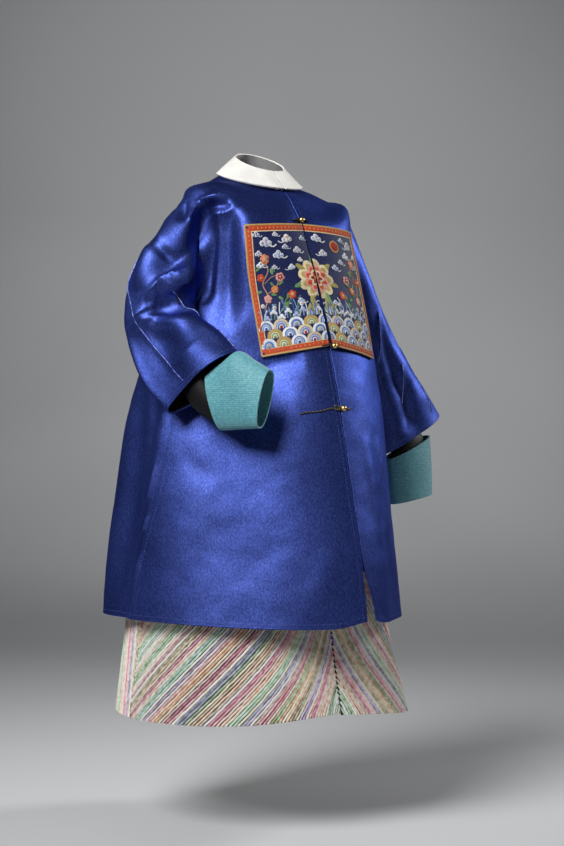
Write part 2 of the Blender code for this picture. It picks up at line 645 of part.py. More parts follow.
badge_half("badge_right", "right", embroidery)
badge_half("badge_left", "left", embroidery)
for number in range(len(BUTTON_HEIGHTS)):
    button(f"button_{number + 1}", number, gilt_brass)
    for edge in ("right", "left"):
        frog(f"frog_{number + 1}_{edge}", edge, number, black_cord)
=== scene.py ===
# %% [markdown]
# # A doll-size court dress in layers
# A dark blue satin surcoat is worn over a dragon robe whose striped hem, black under-sleeves and
# turquoise cuffs show below and at the wrists. The solids of the dress are already made. Here each of
# them gets cloth that looks like cloth.

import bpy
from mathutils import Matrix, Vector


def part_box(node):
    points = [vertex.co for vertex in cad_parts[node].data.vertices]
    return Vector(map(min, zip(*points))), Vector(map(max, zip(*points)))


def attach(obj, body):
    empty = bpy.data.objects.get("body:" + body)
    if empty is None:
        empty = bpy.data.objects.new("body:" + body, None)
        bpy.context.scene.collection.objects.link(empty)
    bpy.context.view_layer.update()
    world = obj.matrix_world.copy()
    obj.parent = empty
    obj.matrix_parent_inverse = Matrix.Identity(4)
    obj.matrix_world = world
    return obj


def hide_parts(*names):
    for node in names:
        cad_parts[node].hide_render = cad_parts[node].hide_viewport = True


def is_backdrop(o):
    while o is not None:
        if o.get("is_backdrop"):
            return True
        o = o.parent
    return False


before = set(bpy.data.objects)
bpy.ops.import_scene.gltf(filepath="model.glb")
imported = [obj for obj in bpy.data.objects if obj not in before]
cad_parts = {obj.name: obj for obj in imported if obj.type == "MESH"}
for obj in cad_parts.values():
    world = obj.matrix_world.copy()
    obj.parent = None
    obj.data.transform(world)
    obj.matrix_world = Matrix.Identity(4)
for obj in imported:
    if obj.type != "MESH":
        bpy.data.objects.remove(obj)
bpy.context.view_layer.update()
print("solids:", sorted(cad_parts))

# %% [markdown]
# The tables below are in millimetres, as a maker measures, and become metres in one place. The wearer's
# left is +X, the front faces -Y and +Z is up. One seed keeps every small accident of the hand the same.

# %% Tools and units
from math import cos, pi, radians, sin

import bmesh
import bpy
import numpy as np
from mathutils import Matrix, Vector, noise
from mathutils.bvhtree import BVHTree
from mathutils.kdtree import KDTree

MM = 0.001
rng = np.random.default_rng(8)
print("one millimetre is", MM, "of Blender's metres")

# %% [markdown]
# Colours are written as sRGB hex values, as a dyer's card would give them, and one function turns them
# into the linear light that the renderer mixes. One more function adds a shader node with its settings,
# its values and its links, so that each finish below reads like a recipe.

# %% Colour and node helpers
def linear(code):
    """A hex colour as linear red, green, blue and alpha."""
    channels = [int(code[i:i + 2], 16) / 255 for i in (1, 3, 5)]
    return (*(c / 12.92 if c <= 0.04045 else ((c + 0.055) / 1.055) ** 2.4 for c in channels), 1.0)


def new_material(name):
    material = bpy.data.materials.new(name)
    material.use_nodes = True
    return material


def add(material, kind, values=None, stops=None, **settings):
    """Add a node with settings, values or links into its sockets, and the stops of a colour ramp."""
    nodes, links = material.node_tree.nodes, material.node_tree.links
    fresh = nodes["Principled BSDF"] if kind == "Principled" else nodes.new("ShaderNode" + kind)
    for option, value in settings.items():
        setattr(fresh, option, value)
    for name, value in (values or {}).items():
        socket = next(s for s in fresh.inputs if s.enabled and s.name == name)
        if isinstance(value, bpy.types.Node):
            value = next(s for s in value.outputs if s.enabled)
        if isinstance(value, bpy.types.NodeSocket):
            links.new(value, socket)
        else:
            socket.default_value = linear(value) if isinstance(value, str) else value
    for place, (position, colour) in enumerate(stops or ()):
        elements = fresh.color_ramp.elements
        stop = elements[place] if place < 2 else elements.new(position)
        stop.position, stop.color = position, linear(colour)
    return fresh


print("middle grey is", round(linear("#808080")[0], 3), "of full light")

# %% [markdown]
# The camera looks level at the chest from the wearer's right, 38 degrees round from the front, through
# a long lens that keeps the dress's proportions. Satin is lit with one wide soft lamp that rakes over the
# right shoulder, so that folds read as bright ridges beside dark hollows. A weak fill keeps the shaded
# side readable, a small lamp from behind draws the far edge, and one more lights the paper.

# %% Camera and light
FRAME_HEIGHT_PX = 846
FOCAL_PX = 2000  # the lens, in the same pixels as the frame's height
SENSOR = 36.0  # mm
CAMERA_PLACE = (-0.7293, -0.9530, -0.1428)
TURN = radians(38)
WORLD_STRENGTH = 0.05

scene = bpy.context.scene
camera_data = bpy.data.cameras.new("camera")
camera_data.sensor_width = SENSOR
camera_data.lens = SENSOR * FOCAL_PX / FRAME_HEIGHT_PX
camera = bpy.data.objects.new("camera", camera_data)
camera.location = CAMERA_PLACE
camera.rotation_euler = (radians(90), 0, -TURN)
scene.collection.objects.link(camera)
scene.camera = camera

right_hand = Vector((cos(TURN), -sin(TURN), 0))
away = Vector((sin(TURN), cos(TURN), 0))


CHEST = Vector((0, 0, -0.12))
PAPER = away * 2.1 + Vector((0, 0, 0.1))
# Places are as the camera sees them, in metres; then size in metres, power in watts, spread in degrees, aim.
LIGHT_COLUMNS = ("name", "aside", "toward", "up", "size", "power", "spread", "aim")
LIGHTS = (
    ("key", -0.56, 0.95, 0.66, 0.74, 4.1, 70, CHEST),
    ("fill", 0.6, 1.25, 0.0, 0.8, 0.16, 90, CHEST),
    ("edge", 1.0, -0.45, 0.35, 0.35, 1.4, 80, CHEST),
    ("paper_light", 0.0, -0.9, 1.3, 0.9, 2.6, 80, PAPER),
)


def soft_light(name, aside, toward, up, size, power, spread, aim):
    """A round area light placed as the camera sees it."""
    data = bpy.data.lights.new(name, "AREA")
    data.shape, data.size, data.energy = "DISK", size, power
    data.spread = radians(spread)
    light = bpy.data.objects.new(name, data)
    light.location = right_hand * aside - away * toward + Vector((0, 0, up))
    light.rotation_euler = (aim - light.location).to_track_quat("-Z", "Y").to_euler()
    scene.collection.objects.link(light)


for row in LIGHTS:
    soft_light(**dict(zip(LIGHT_COLUMNS, row)))
world = bpy.data.worlds.new("studio")
world.use_nodes = True
world.node_tree.nodes["Background"].inputs[0].default_value = linear("#eef0f2")
world.node_tree.nodes["Background"].inputs[1].default_value = WORLD_STRENGTH
scene.world = world
scene.view_settings.view_transform = "Standard"

# %% [markdown]
# The background is a roll of matt grey paper that runs level under the dress and curves up behind it, so
# that no horizon shows. It is a strip of quads along one profile, faintly uneven as paper is.

# %% Paper sweep
FLOOR_HEIGHT = -0.378
SWEEP_WIDTH = 7
SWEEP = ((-3.0, 0), (1.2, 0), (1.7, 0.06), (2.05, 0.25), (2.25, 0.6), (2.3, 1.2), (2.3, 3.0))  # depth, height
bpy.ops.object.select_all(action="DESELECT")
bpy.ops.mesh.primitive_grid_add(x_subdivisions=1, y_subdivisions=len(SWEEP) - 1, size=1)
floor = bpy.context.object
floor.name = "paper_sweep"
for vertex in floor.data.vertices:
    depth, height = SWEEP[round((vertex.co.y + 0.5) * (len(SWEEP) - 1))]
    vertex.co = right_hand * (vertex.co.x * SWEEP_WIDTH) + away * depth + Vector((0, 0, height + FLOOR_HEIGHT))
floor.data.shade_smooth()
# wood-pulp paper, uncoated, rolled without gloss
paper = new_material("matt_paper")
fibres = add(paper, "TexNoise", {"Vector": add(paper, "TexCoord").outputs["Object"], "Scale": 3.0, "Detail": 1.0})
add(paper, "Principled", {
    "Base Color": add(paper, "ValToRGB", {"Fac": fibres}, stops=((0.3, "#cdced0"), (0.7, "#d3d4d5"))),
    "Roughness": 0.9})
floor.data.materials.append(paper)
floor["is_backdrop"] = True
print("paper sweep:", [round(v, 2) for v in floor.dimensions], "metres")

# %% [markdown]
# Cloth follows the body as a few measured sections, joined by a smooth curve down the rows and another
# round the body. The same curve serves the sleeves, whose sections are flattened loops between the outer
# and inner fold. Working from the sizes of the solids keeps each sheet exactly where its solid is.

# %% Curves
def hermite(first, last, first_slope, last_slope, t):
    """The cubic between two values with the given slopes, at t from 0 to 1."""
    h = t * t * (3 - 2 * t)
    return (first * (1 - h) + last * h
            + first_slope * t * (1 - t) ** 2 - last_slope * t * t * (1 - t))


def smooth(values, at):
    """A smooth curve through rows of values, read at positions counted in rows."""
    values = np.asarray(values, float)
    at = np.clip(np.asarray(at, float), 0, len(values) - 1)
    row = np.minimum(at.astype(int), len(values) - 2)
    t = (at - row).reshape(at.shape + (1,) * (values.ndim - 1))
    slopes = np.gradient(values, axis=0)
    return hermite(values[row], values[row + 1], slopes[row], slopes[row + 1], t)


def smooth_each(values, at):
    """Like smooth, but every sample has its own row of values."""
    at = np.clip(at, 0, values.shape[-1] - 1)
    cell = np.minimum(at.astype(int), values.shape[-1] - 2)
    slopes = np.gradient(values, axis=-1)

    def pick(table, where):
        return np.take_along_axis(table, where[..., None], -1)[..., 0]

    return hermite(pick(values, cell), pick(values, cell + 1),
                   pick(slopes, cell), pick(slopes, cell + 1), at - cell)


def ease(low, high, x):
    """0 below low, 1 above high, smooth between."""
    t = np.clip((np.asarray(x, float) - low) / (high - low), 0, 1)
    return t * t * (3 - 2 * t)


def unit(vectors):
    """The same directions with a length of one."""
    return vectors / np.linalg.norm(vectors, axis=-1, keepdims=True)


def run_length(line):
    """How far along a line each of its points is."""
    return np.concatenate([[0], np.cumsum(np.linalg.norm(np.diff(line, axis=0), axis=1))])


print("halfway from 0 to 1 with a smooth start:", float(smooth((0, 1, 1), 0.5)))

# %% [markdown]
# Sections of the surcoat and of the robe under it, from the neck ring down to the hem. Each row gives the
# height where the ring crosses the side, the front and the back, and its distance from the wearer's axis
# at five places round the half. The two halves differ because one arm is held forward.

# %% Sections of the body
WALL = 1.0  # cloth with its lining
FRONT_GAP = 1.8  # between the two fronts, measured on the outside of the fold
LAID_GAP = 0.6  # between a panel and what lies on it

# Radii are measured from the wearer's axis at 0, 45, 90, 135 and 180 degrees.
SECTION_COLUMNS = ("z_side", "z_front", "z_back", "front", "front_diagonal", "side", "back_diagonal", "back")
COAT_RIGHT = (
    (0.5, -5, 11, 20, 20, 20, 20, 20),
    (0, -10, 7, 25.5, 28.5, 33, 27, 24),
    (-2.2, -18, -2, 31.5, 37, 44, 34, 29),
    (-7, -27, -14, 37, 45.5, 53, 40, 34),
    (-26, -42, -35, 43, 49.5, 51, 44.5, 38.5),
    (-50, -64, -59, 51.5, 50, 51, 51, 44),
    (-75, -88, -85, 60.5, 51, 55, 59, 50),
    (-105, -114, -112, 68.5, 53, 67, 71, 57),
    (-140, -144, -143, 76, 63, 77, 78.5, 63),
    (-180, -182, -181, 84.5, 72, 83, 84, 69),
    (-220, -220, -220, 93.5, 79, 88, 89.5, 75),
    (-255, -257.5, -255, 98.5, 86, 91, 93, 80),
)
COAT_LEFT = (
    (0.5, -5, 11, 20, 20, 20, 20, 20),
    (-3, -10, 7, 25.5, 28.5, 33, 27, 24),
    (-7, -18, -2, 31.5, 37.5, 45, 34, 29),
    (-9.5, -27, -14, 37, 48, 56.5, 40, 34),
    (-28, -42, -35, 43, 53, 56, 45, 38.5),
    (-54, -64, -59, 51.5, 58.5, 57, 51, 44),
    (-80, -88, -85, 60.5, 64, 61, 57, 50),
    (-107, -114, -112, 68.5, 68.5, 67, 64, 57),
    (-140, -144, -143, 76, 73, 72, 71, 63),
    (-180, -182, -181, 84.5, 77, 75, 77, 69),
    (-220, -220, -220, 93.5, 80, 76, 83, 75),
    (-256, -256, -255, 98.5, 83.5, 77, 87, 80),
)
ROBE_RIGHT = (
    (-1, -7, 8, 17.5, 17.5, 17.5, 17.5, 17.5),
    (-2, -13.5, 2, 22, 25, 29, 24, 21),
    (-6, -22, -11, 28, 33, 40, 30, 26),
    (-13, -32, -22, 33, 41, 47, 36, 30),
    (-32, -47, -40, 38, 44, 46, 40, 34),
    (-52, -66, -61, 43, 45, 46, 45, 39),
    (-71, -88, -85, 48, 46, 48, 49, 43),
    (-110, -118, -116, 53, 48, 58, 57, 48),
    (-155, -160, -158, 56, 56, 67, 66, 54),
    (-210, -210, -210, 60, 66, 75, 74, 61),
    (-262, -262, -262, 65, 74, 80, 78, 68),
    (-313, -314, -314, 74, 82, 87, 84, 75),
)
ROBE_LEFT = (
    (-2, -7, 8, 17.5, 17.5, 17.5, 17.5, 17.5),
    (-6, -13.5, 2, 22, 25, 29, 24, 21),
    (-11, -22, -11, 28, 33, 40, 30, 26),
    (-15.5, -32, -22, 33, 43, 49, 36, 30),
    (-33, -47, -40, 38, 47, 50, 40, 34),
    (-54, -66, -61, 43, 51, 51, 45, 39),
    (-76, -88, -85, 48, 54, 54, 49, 43),
    (-110, -118, -116, 53, 58, 59, 56, 48),
    (-155, -160, -158, 56, 62, 64, 62, 54),
    (-210, -210, -210, 60, 67, 67, 68, 61),
    (-262, -262, -262, 65, 74, 71, 74, 68),
    (-315, -315, -314, 74, 87, 79, 82, 75),
)
COAT = {"right": COAT_RIGHT, "left": COAT_LEFT}
ROBE = {"right": ROBE_RIGHT, "left": ROBE_LEFT}
SHOULDER_ROW = 3  # the section that carries the top of the armhole
UNDERARM_ROW = 6  # the section that carries its bottom
HEM_ROW = 11
print("rows of sections:", len(COAT_RIGHT), "for the surcoat and", len(ROBE_RIGHT), "for the robe")

# %% [markdown]
# Heavy silk hangs in a few long, shallow folds, and its seams, vents and hem stand where a tailor put
# them. They are numbers against the same rows and degrees, so that surface and solid agree.

# %% Folds, armholes, seams and hems
# Folds pressed or hung into the body: place round the side in degrees, half-width in degrees, depth out (+)
# or in (-), and the section rows between which the fold fades in and out.
FOLD_COLUMNS = ("side", "angle", "half_width", "depth", "from_row", "to_row")
FOLD_FADE = 0.35  # the share of a fold's length over which it fades at each end
COAT_FOLDS = (
    ("right", 61, 8, -3.5, 2.6, 6.8),
    ("right", 47, 9, 1.8, 2.2, 5.5),
    ("right", 118, 9, 2.5, 6.5, 12.5),
    ("right", 137, 8, -2.5, 6.5, 12.5),
    ("right", 160, 8, 2.0, 7.5, 12.5),
    ("left", 62, 7, -2.5, 3.4, 7.5),
    ("left", 24, 9, -1.6, 8.0, 12.5),
    ("left", 122, 9, 2.5, 6.5, 12.5),
    ("left", 143, 8, -2.5, 7.0, 12.5),
)
ROBE_FOLDS = (
    ("right", 128, 9, 2.0, 8.5, 12.5),
    ("left", 122, 9, 2.0, 8.5, 12.5),
)

# How far the armhole reaches into the front and into the back, in degrees.
COAT_ARMHOLE = (16.0, 18.0)
ROBE_ARMHOLE = (15.0, 16.0)

# The side vents of the surcoat: sewn down to a row, then the back runs under the front.
VENT_TOP_ROW = 7.6
VENT_LAP_DEGREES = 3.0
VENT_DROP = 2.4
VENT_SOFTNESS = 16  # degrees over which the back sinks towards the vent
VENT_LAPS, VENT_SINKS = (0.05, 0.6), (-0.02, 0.4)  # rows past the vent's top over which it does so
# The left front swings clear of the right one near the hem: by how much, and from which row.
LEFT_SWING, LEFT_SWING_FROM = 7.5, 9.6
CENTRE_SEAM_DEPTH, CENTRE_SEAM_WIDTH = 0.45, 1.3  # the dip along the centre-back seam
# Where the side seam lies at each section row, in degrees from the front.
COAT_SIDE_SEAM = (90, 90, 90, 90, 90, 90, 90, 84, 80, 84, 90, 95)
ROBE_SIDE_SEAM = (90, 90, 90, 90, 90, 90, 90, 92, 94, 96, 98, 99)
# The hem lifts towards the centre front: how far, over how many degrees.
COAT_HEM_LIFT = (3.5, 7.0)
ROBE_HEM_LIFT = (5.5, 38.0)
LIFT_FROM_ROW = 10.0
print("folds:", len(COAT_FOLDS), "on the surcoat and", len(ROBE_FOLDS), "on the robe")

# %% [markdown]
# A wide sleeve that is worn lies as a flat loop between a fold over the arm and a fold under it. Each row
# is one loop, from the armhole to the mouth: the outer fold's place, the inner fold's place, and half of
# the thickness between them. The cuffs are loops of the same kind.

# %% Loops of the sleeves and cuffs
COAT_SLEEVE_RIGHT = (
    (-62, 9, -24, -59, -13, -74.5, 14.5),
    (-74, 17.5, -47, -62.5, -18, -77, 14.5),
    (-84, 20, -70, -65, -23, -79.5, 14),
    (-88.5, 12, -92, -66.5, -28, -82, 13.5),
    (-90, -2, -113, -66.5, -34, -86.5, 13),
    (-89.5, -15, -127, -65, -43, -92, 12.5),
    (-87.5, -28, -137.2, -61.6, -58.5, -102.6, 12),
)
COAT_SLEEVE_LEFT = (
    (67.5, 1, -20, 64.5, -2, -86, 14),
    (77.5, 0, -44, 67.5, -5, -97, 14),
    (88.5, -2, -69, 70.5, -7, -111, 13.5),
    (104, -5, -96, 74, -9, -128, 13),
    (119, -8, -117, 78, -11, -146, 12.5),
    (133.6, -10, -137, 82, -13, -163, 12),
)
ROBE_SLEEVE_RIGHT = (
    (-60, 6, -30, -59, -9, -61, 8.5),
    (-75.5, 9.5, -57, -67.5, -14, -67, 8),
    (-85, 6, -86, -71.5, -17, -79, 8),
    (-84, -9, -111, -73, -30, -91, 7.5),
    (-80.8, -26, -128, -73.8, -40.5, -104.5, 6.6),
    (-67, -49, -145, -72, -44.8, -117.5, 6),
)
ROBE_SLEEVE_LEFT = (
    (64, 0, -31, 60, -3, -68, 9.5),
    (75, -0.5, -57, 67, -4.5, -88, 9.5),
    (87, -3.5, -87, 75, -7.5, -110, 9),
    (102, -7, -117, 84, -10, -135, 8),
    (115, -10, -141, 91, -12, -156, 7),
    (121, -12, -157.5, 91, -12.3, -170, 6),
)
CUFF_RIGHT = (
    (-66, -50, -147, -72.5, -45, -115, 8),
    (-64.5, -56.5, -146.8, -68, -53.5, -108.8, 8.4),
    (-62.7, -62.7, -146.4, -63.6, -62, -102.8, 8.6),
    (-60.7, -68.7, -146.1, -58.7, -70.2, -108, 8.4),
    (-58.8, -74.6, -145.8, -53.7, -78.6, -113.5, 8),
)
CUFF_LEFT = (
    (122.5, -12, -150.5, 88.5, -12, -165.5, 8),
    (123.5, -12, -163.5, 89.5, -12.2, -175.5, 8.3),
    (124.2, -12, -177, 90.4, -12.3, -185, 8.3),
    (124.4, -12, -187.5, 91.4, -12.5, -193.5, 8),
)
COAT_SLEEVE = {"right": COAT_SLEEVE_RIGHT, "left": COAT_SLEEVE_LEFT}
ROBE_SLEEVE = {"right": ROBE_SLEEVE_RIGHT, "left": ROBE_SLEEVE_LEFT}
CUFF = {"right": CUFF_RIGHT, "left": CUFF_LEFT}
# Folds across and along the sleeves: the turn round the sleeve in degrees (0 outer fold, 90 front), its
# half-width, the depth out (+) or in (-), and the rings between which the fold lies and fades.
SLEEVE_FOLD_COLUMNS = ("turn", "half_turn", "depth", "ring", "half_rings")
SLEEVE_FOLDS_RIGHT = (
    (125, 30, -6.5, 3.3, 0.6),
    (75, 42, -3.2, 3.2, 0.5),
    (122, 14, 3.4, 1.3, 1.2),
    (92, 14, -3.6, 1.3, 1.3),
    (60, 16, 2.4, 1.6, 1.3),
    (30, 11, 2.6, 5.6, 2.4),
    (255, 40, -3.0, 3.3, 0.7),
)
SLEEVE_FOLDS_LEFT = (
    (95, 16, -2.6, 4.6, 1.9),
    (60, 16, 1.6, 3.6, 1.8),
    (270, 22, -2.0, 3.6, 1.9),
)
ROBE_SLEEVE_FOLDS_RIGHT = (
    (125, 34, -4.0, 3.0, 0.8),
    (90, 45, -3.0, 2.2, 1.4),
)
SLEEVE_FOLDS = {"right": SLEEVE_FOLDS_RIGHT, "left": SLEEVE_FOLDS_LEFT}
ROBE_SLEEVE_FOLDS = {"right": ROBE_SLEEVE_FOLDS_RIGHT, "left": ()}
OUTER_CREASE = 1.35  # 1 is a round fold, 2 a sharp one
INNER_CREASE = 1.3
CUFF_CREASE = 0.75
BEHIND_FROM, BEHIND_TO = (165, 205), (240, 330)  # the back of a sleeve, in degrees round its loop
print("loops:", {side: (len(COAT_SLEEVE[side]), len(ROBE_SLEEVE[side]), len(CUFF[side])) for side in CUFF})

# %% [markdown]
# The surface of one half is read at any number of degrees round from the centre front and at any
# section row, with the hung folds already in it. A formula for the whole half keeps its panels in step, so
# that they meet at the seams whatever the number of points.

# %% Points on the body
def fold_depth(folds, side, degrees, row):
    """How far the folds of one side push the cloth out at an angle and row."""
    total = np.zeros(np.broadcast(degrees, row).shape)
    for fold in folds:
        fold = dict(zip(FOLD_COLUMNS, fold))
        if fold["side"] != side:
            continue
        across = np.exp(-((degrees - fold["angle"]) / fold["half_width"]) ** 2)
        fade = FOLD_FADE * (fold["to_row"] - fold["from_row"])
        along = ease(fold["from_row"], fold["from_row"] + fade, row)
        along = along * (1 - ease(fold["to_row"] - fade, fold["to_row"], row))
        total = total + fold["depth"] * across * along
    return total


def body_point(sections, folds, side, degrees, row, push=0.0):
    """Points on one side of the body: degrees round from the front (0) to the back (180), row down."""
    degrees, row = np.broadcast_arrays(np.asarray(degrees, float), np.asarray(row, float))
    column = dict(zip(SECTION_COLUMNS, np.moveaxis(smooth(sections, row), -1, 0)))
    radii = [column[n] for n in ("front", "front_diagonal", "side", "back_diagonal", "back")]
    radii.append(column["back_diagonal"])
    radius = smooth_each(np.stack(radii, -1), np.abs(degrees) / 45)
    radius = radius + fold_depth(folds, side, degrees, row) + push
    turn = np.radians(degrees)
    toward_end = 1 - np.sin(turn) ** 4
    end_height = np.where(degrees < 90, column["z_front"], column["z_back"])
    height = column["z_side"] + (end_height - column["z_side"]) * toward_end
    across = radius * np.sin(turn) * (-1 if side == "right" else 1)
    return np.stack([across, -radius * np.cos(turn), height], -1)


print("the right hem at the centre front:", body_point(COAT_RIGHT, COAT_FOLDS, "right", 0, HEM_ROW).round(1))

# %% [markdown]
# Rows come closer together at both ends of the armhole, so that the sleeve's first loop can use the same
# points and the two are one cloth, as in a coat that is cut without an armhole seam.

# %% Rows and armholes
ARMHOLE_MIDDLE = (SHOULDER_ROW + UNDERARM_ROW) / 2
ARMHOLE_HALF = (UNDERARM_ROW - SHOULDER_ROW) / 2


def row_list(neck, armhole, skirt):
    """Rows of a body grid, closer together at both ends of the armhole."""
    above = np.linspace(0, SHOULDER_ROW, neck + 1)
    beside = ARMHOLE_MIDDLE - ARMHOLE_HALF * np.cos(np.linspace(0, pi, armhole + 1))
    below = np.linspace(UNDERARM_ROW, HEM_ROW, skirt + 1)
    return np.concatenate([above, beside[1:], below[1:]])


def armhole_reach(row, degrees):
    """How far the armhole bites into a panel at a row."""
    return degrees * np.sqrt(np.clip(1 - ((row - ARMHOLE_MIDDLE) / ARMHOLE_HALF) ** 2, 0, 1))


def hem_lift(points, degrees, row, lift):
    """Raise the hem towards the centre front."""
    height, half_width = lift
    points[..., 2] += height * np.exp(-(degrees / half_width) ** 2) * ease(LIFT_FROM_ROW, HEM_ROW, row) ** 2
    return points


print("the armhole runs over", 2 * ARMHOLE_HALF, "section rows")

# %% [markdown]
# One half of the surcoat is a front and a back panel that are sewn at the side down to the vent. Below it
# the back panel laps under the front one, and a shallow groove at the centre back stands for the seam.

# %% The surcoat's panels
def coat_sheets(side, rows, columns):
    """The front and the back of one half of the surcoat, sewn at the side as far as the vent."""
    sections = COAT[side]
    row = rows[:, None]
    seam = smooth(COAT_SIDE_SEAM, rows)[:, None]
    radii = smooth(sections, rows)[:, 3:8]
    radius_front, radius_back = radii[:, :1], radii[:, 4:]
    gap = FRONT_GAP / 2 + (LEFT_SWING if side == "left" else 0) * ease(LEFT_SWING_FROM, HEM_ROW, row) ** 2
    start = np.degrees(gap / radius_front)
    front_edge = seam - armhole_reach(row, COAT_ARMHOLE[0])
    lap = VENT_LAP_DEGREES * ease(VENT_TOP_ROW + VENT_LAPS[0], VENT_TOP_ROW + VENT_LAPS[1], row)
    back_edge = seam + armhole_reach(row, COAT_ARMHOLE[1]) - lap
    forward = np.linspace(0, 1, columns[0] + 1)[None, :]
    backward = np.linspace(0, 1, columns[1] + 1)[None, :]
    front_degrees = start + (front_edge - start) * forward
    back_degrees = back_edge + (180 - back_edge) * backward
    sink = -VENT_DROP * ease(VENT_TOP_ROW + VENT_SINKS[0], VENT_TOP_ROW + VENT_SINKS[1], row)
    sink = sink * np.exp(-((back_degrees - seam) / VENT_SOFTNESS) ** 2)
    from_centre = np.radians(180 - back_degrees) * radius_back
    sink = sink - CENTRE_SEAM_DEPTH * np.exp(-(from_centre / CENTRE_SEAM_WIDTH) ** 2)
    front = body_point(sections, COAT_FOLDS, side, front_degrees, row)
    front = hem_lift(front, front_degrees, row, COAT_HEM_LIFT)
    back = body_point(sections, COAT_FOLDS, side, back_degrees, row, sink)
    return front, back


print("the back panel laps", VENT_LAP_DEGREES, "degrees under the front one")

# %% [markdown]
# A sleeve starts from the armhole's own edge. Its loops run down the arm, each flattened between the
# fold over the arm and the fold under it.

# %% Rings of a sleeve
def armhole_ring(side, sections, folds, armhole, side_seam, turns):
    """The edge of the armhole as the sleeve meets it, from the shoulder round by the front."""
    row = ARMHOLE_MIDDLE - ARMHOLE_HALF * np.cos(turns)
    reach = np.where(np.sin(turns) > 0, armhole[0], armhole[1]) * np.sin(turns)
    return body_point(sections, folds, side, smooth(side_seam, row) - reach, row)


def sleeve_rings(first, table, turns, creases, front_sign, straight=0):
    """Rings of a sleeve, each a flattened loop between its outer and inner folds."""
    rings = np.array(table, float)
    outer, inner, thick = rings[:, 0:3], rings[:, 3:6], rings[:, 6]
    middle = (outer + inner) / 2
    if first is not None:
        path = np.gradient(np.vstack([first.mean(0), middle]), axis=0)[1:]
    else:
        path = np.gradient(middle, axis=0)
    face = front_sign * unit(np.cross(outer - inner, path))
    outer_crease, inner_crease = creases
    bend = inner_crease + (outer_crease - inner_crease) * (1 + np.cos(turns)) / 2
    bulge = np.sign(np.sin(turns)) * np.abs(np.sin(turns)) ** bend
    loops = (middle[:, None] + (outer - inner)[:, None] / 2 * np.cos(turns)[None, :, None]
             + face[:, None] * (thick[:, None] * bulge[None, :])[..., None])
    if first is None:
        return loops
    around = np.degrees(turns)
    behind = (ease(*BEHIND_FROM, around) * (1 - ease(*BEHIND_TO, around)))[:, None]
    for index in range(straight):
        ruled = first + (loops[straight] - first) * (index + 1) / (straight + 1)
        loops[index] += behind * (ruled - loops[index])
    return np.concatenate([first[None], loops])


print("a sleeve goes through", len(COAT_SLEEVE_RIGHT) + 1, "loops, the armhole's own among them")

# %% [markdown]
# The rings are smoothed into one sheet, and its folds push it in and out: the bent elbow breaks the right
# sleeve into deeper ones than the left.

# %% The sheet of a sleeve
def folded(points, at, turns, folds):
    """The sheet of a sleeve with its folds, each fading out round it and along it."""
    outward = unit(points - points[:, :-1].mean(1)[:, None])
    for row in folds:
        fold = dict(zip(SLEEVE_FOLD_COLUMNS, row))
        round_by = (np.degrees(turns)[None] - fold["turn"]) / fold["half_turn"]
        along = (at[:, None] - fold["ring"]) / fold["half_rings"]
        clear_of_seam = ease(0, 0.5, at)[:, None]
        depth = fold["depth"] * clear_of_seam * np.exp(-round_by ** 2 - along ** 2)
        points = points + outward * depth[..., None]
    return points


def sleeve_sheet(side, body, table, folds, armpit, segments, count):
    """A sleeve as a grid of points, one row for each loop from the armhole to the mouth."""
    twist, straight = armpit
    turns = np.linspace(0, 2 * pi, segments + 1)
    first = armhole_ring(side, *body, turns - radians(twist))
    front_sign = 1 if side == "right" else -1
    rings = sleeve_rings(first, table, turns, (OUTER_CREASE, INNER_CREASE), front_sign, straight)
    at = np.linspace(0, len(rings) - 1, count)
    points = folded(smooth(rings, at), at, turns, folds)
    points[:, -1] = points[:, 0]
    return points


print("folds of the surcoat's sleeves:", {side: len(folds) for side, folds in SLEEVE_FOLDS.items()})

# %% [markdown]
# A grid of points becomes a sheet of quads, and several sheets are sewn by merging the points where their
# edges meet. The open edges are kept as loops, because the turned edges and their stitches follow them
# later.

# %% From grids to one sheet
MERGED, SEWN, NOTHING = 0.01, 0.02, 0.001  # points this close are one, in a sheet and between sheets


def edge_loops(mesh):
    """The open edges of a sheet, each as the points and outward directions along a closed loop."""
    mesh.normal_update()
    waiting = {edge for edge in mesh.edges if edge.is_boundary}
    loops = []
    while waiting:
        edge = min(waiting, key=lambda e: e.index)
        waiting.discard(edge)
        loop = [edge.verts[0], edge.verts[1]]
        while True:
            step = next((e for e in loop[-1].link_edges if e in waiting), None)
            if step is None:
                break
            waiting.discard(step)
            loop.append(step.other_vert(loop[-1]))
        loop = loop[:-1] if loop[0] == loop[-1] else loop
        loops.append((np.array([v.co for v in loop]) / MM, np.array([v.normal for v in loop])))
    return loops


def sew(grids, flip):
    """Several grids of points as one bmesh, with the points that coincide merged."""
    mesh = bmesh.new()
    for points in grids:
        rows, columns = points.shape[:2]
        corners = [mesh.verts.new(point) for point in (points * MM).reshape(-1, 3)]
        for row in range(rows - 1):
            for column in range(columns - 1):
                first = row * columns + column
                quad = [corners[k] for k in (first, first + 1, first + columns + 1, first + columns)]
                mesh.faces.new(quad[::-1] if flip else quad)
    bmesh.ops.remove_doubles(mesh, verts=mesh.verts, dist=MERGED * MM)
    bmesh.ops.dissolve_degenerate(mesh, edges=mesh.edges, dist=NOTHING * MM)
    mesh.normal_update()
    return mesh


print("points within", MERGED, "mm of each other are sewn")

# %% [markdown]
# A sheet becomes an object, and a wall modifier gives the cloth its thickness with the lining on the
# inside. The modifier is applied at once, because the pieces that are laid on the cloth need its real skin.

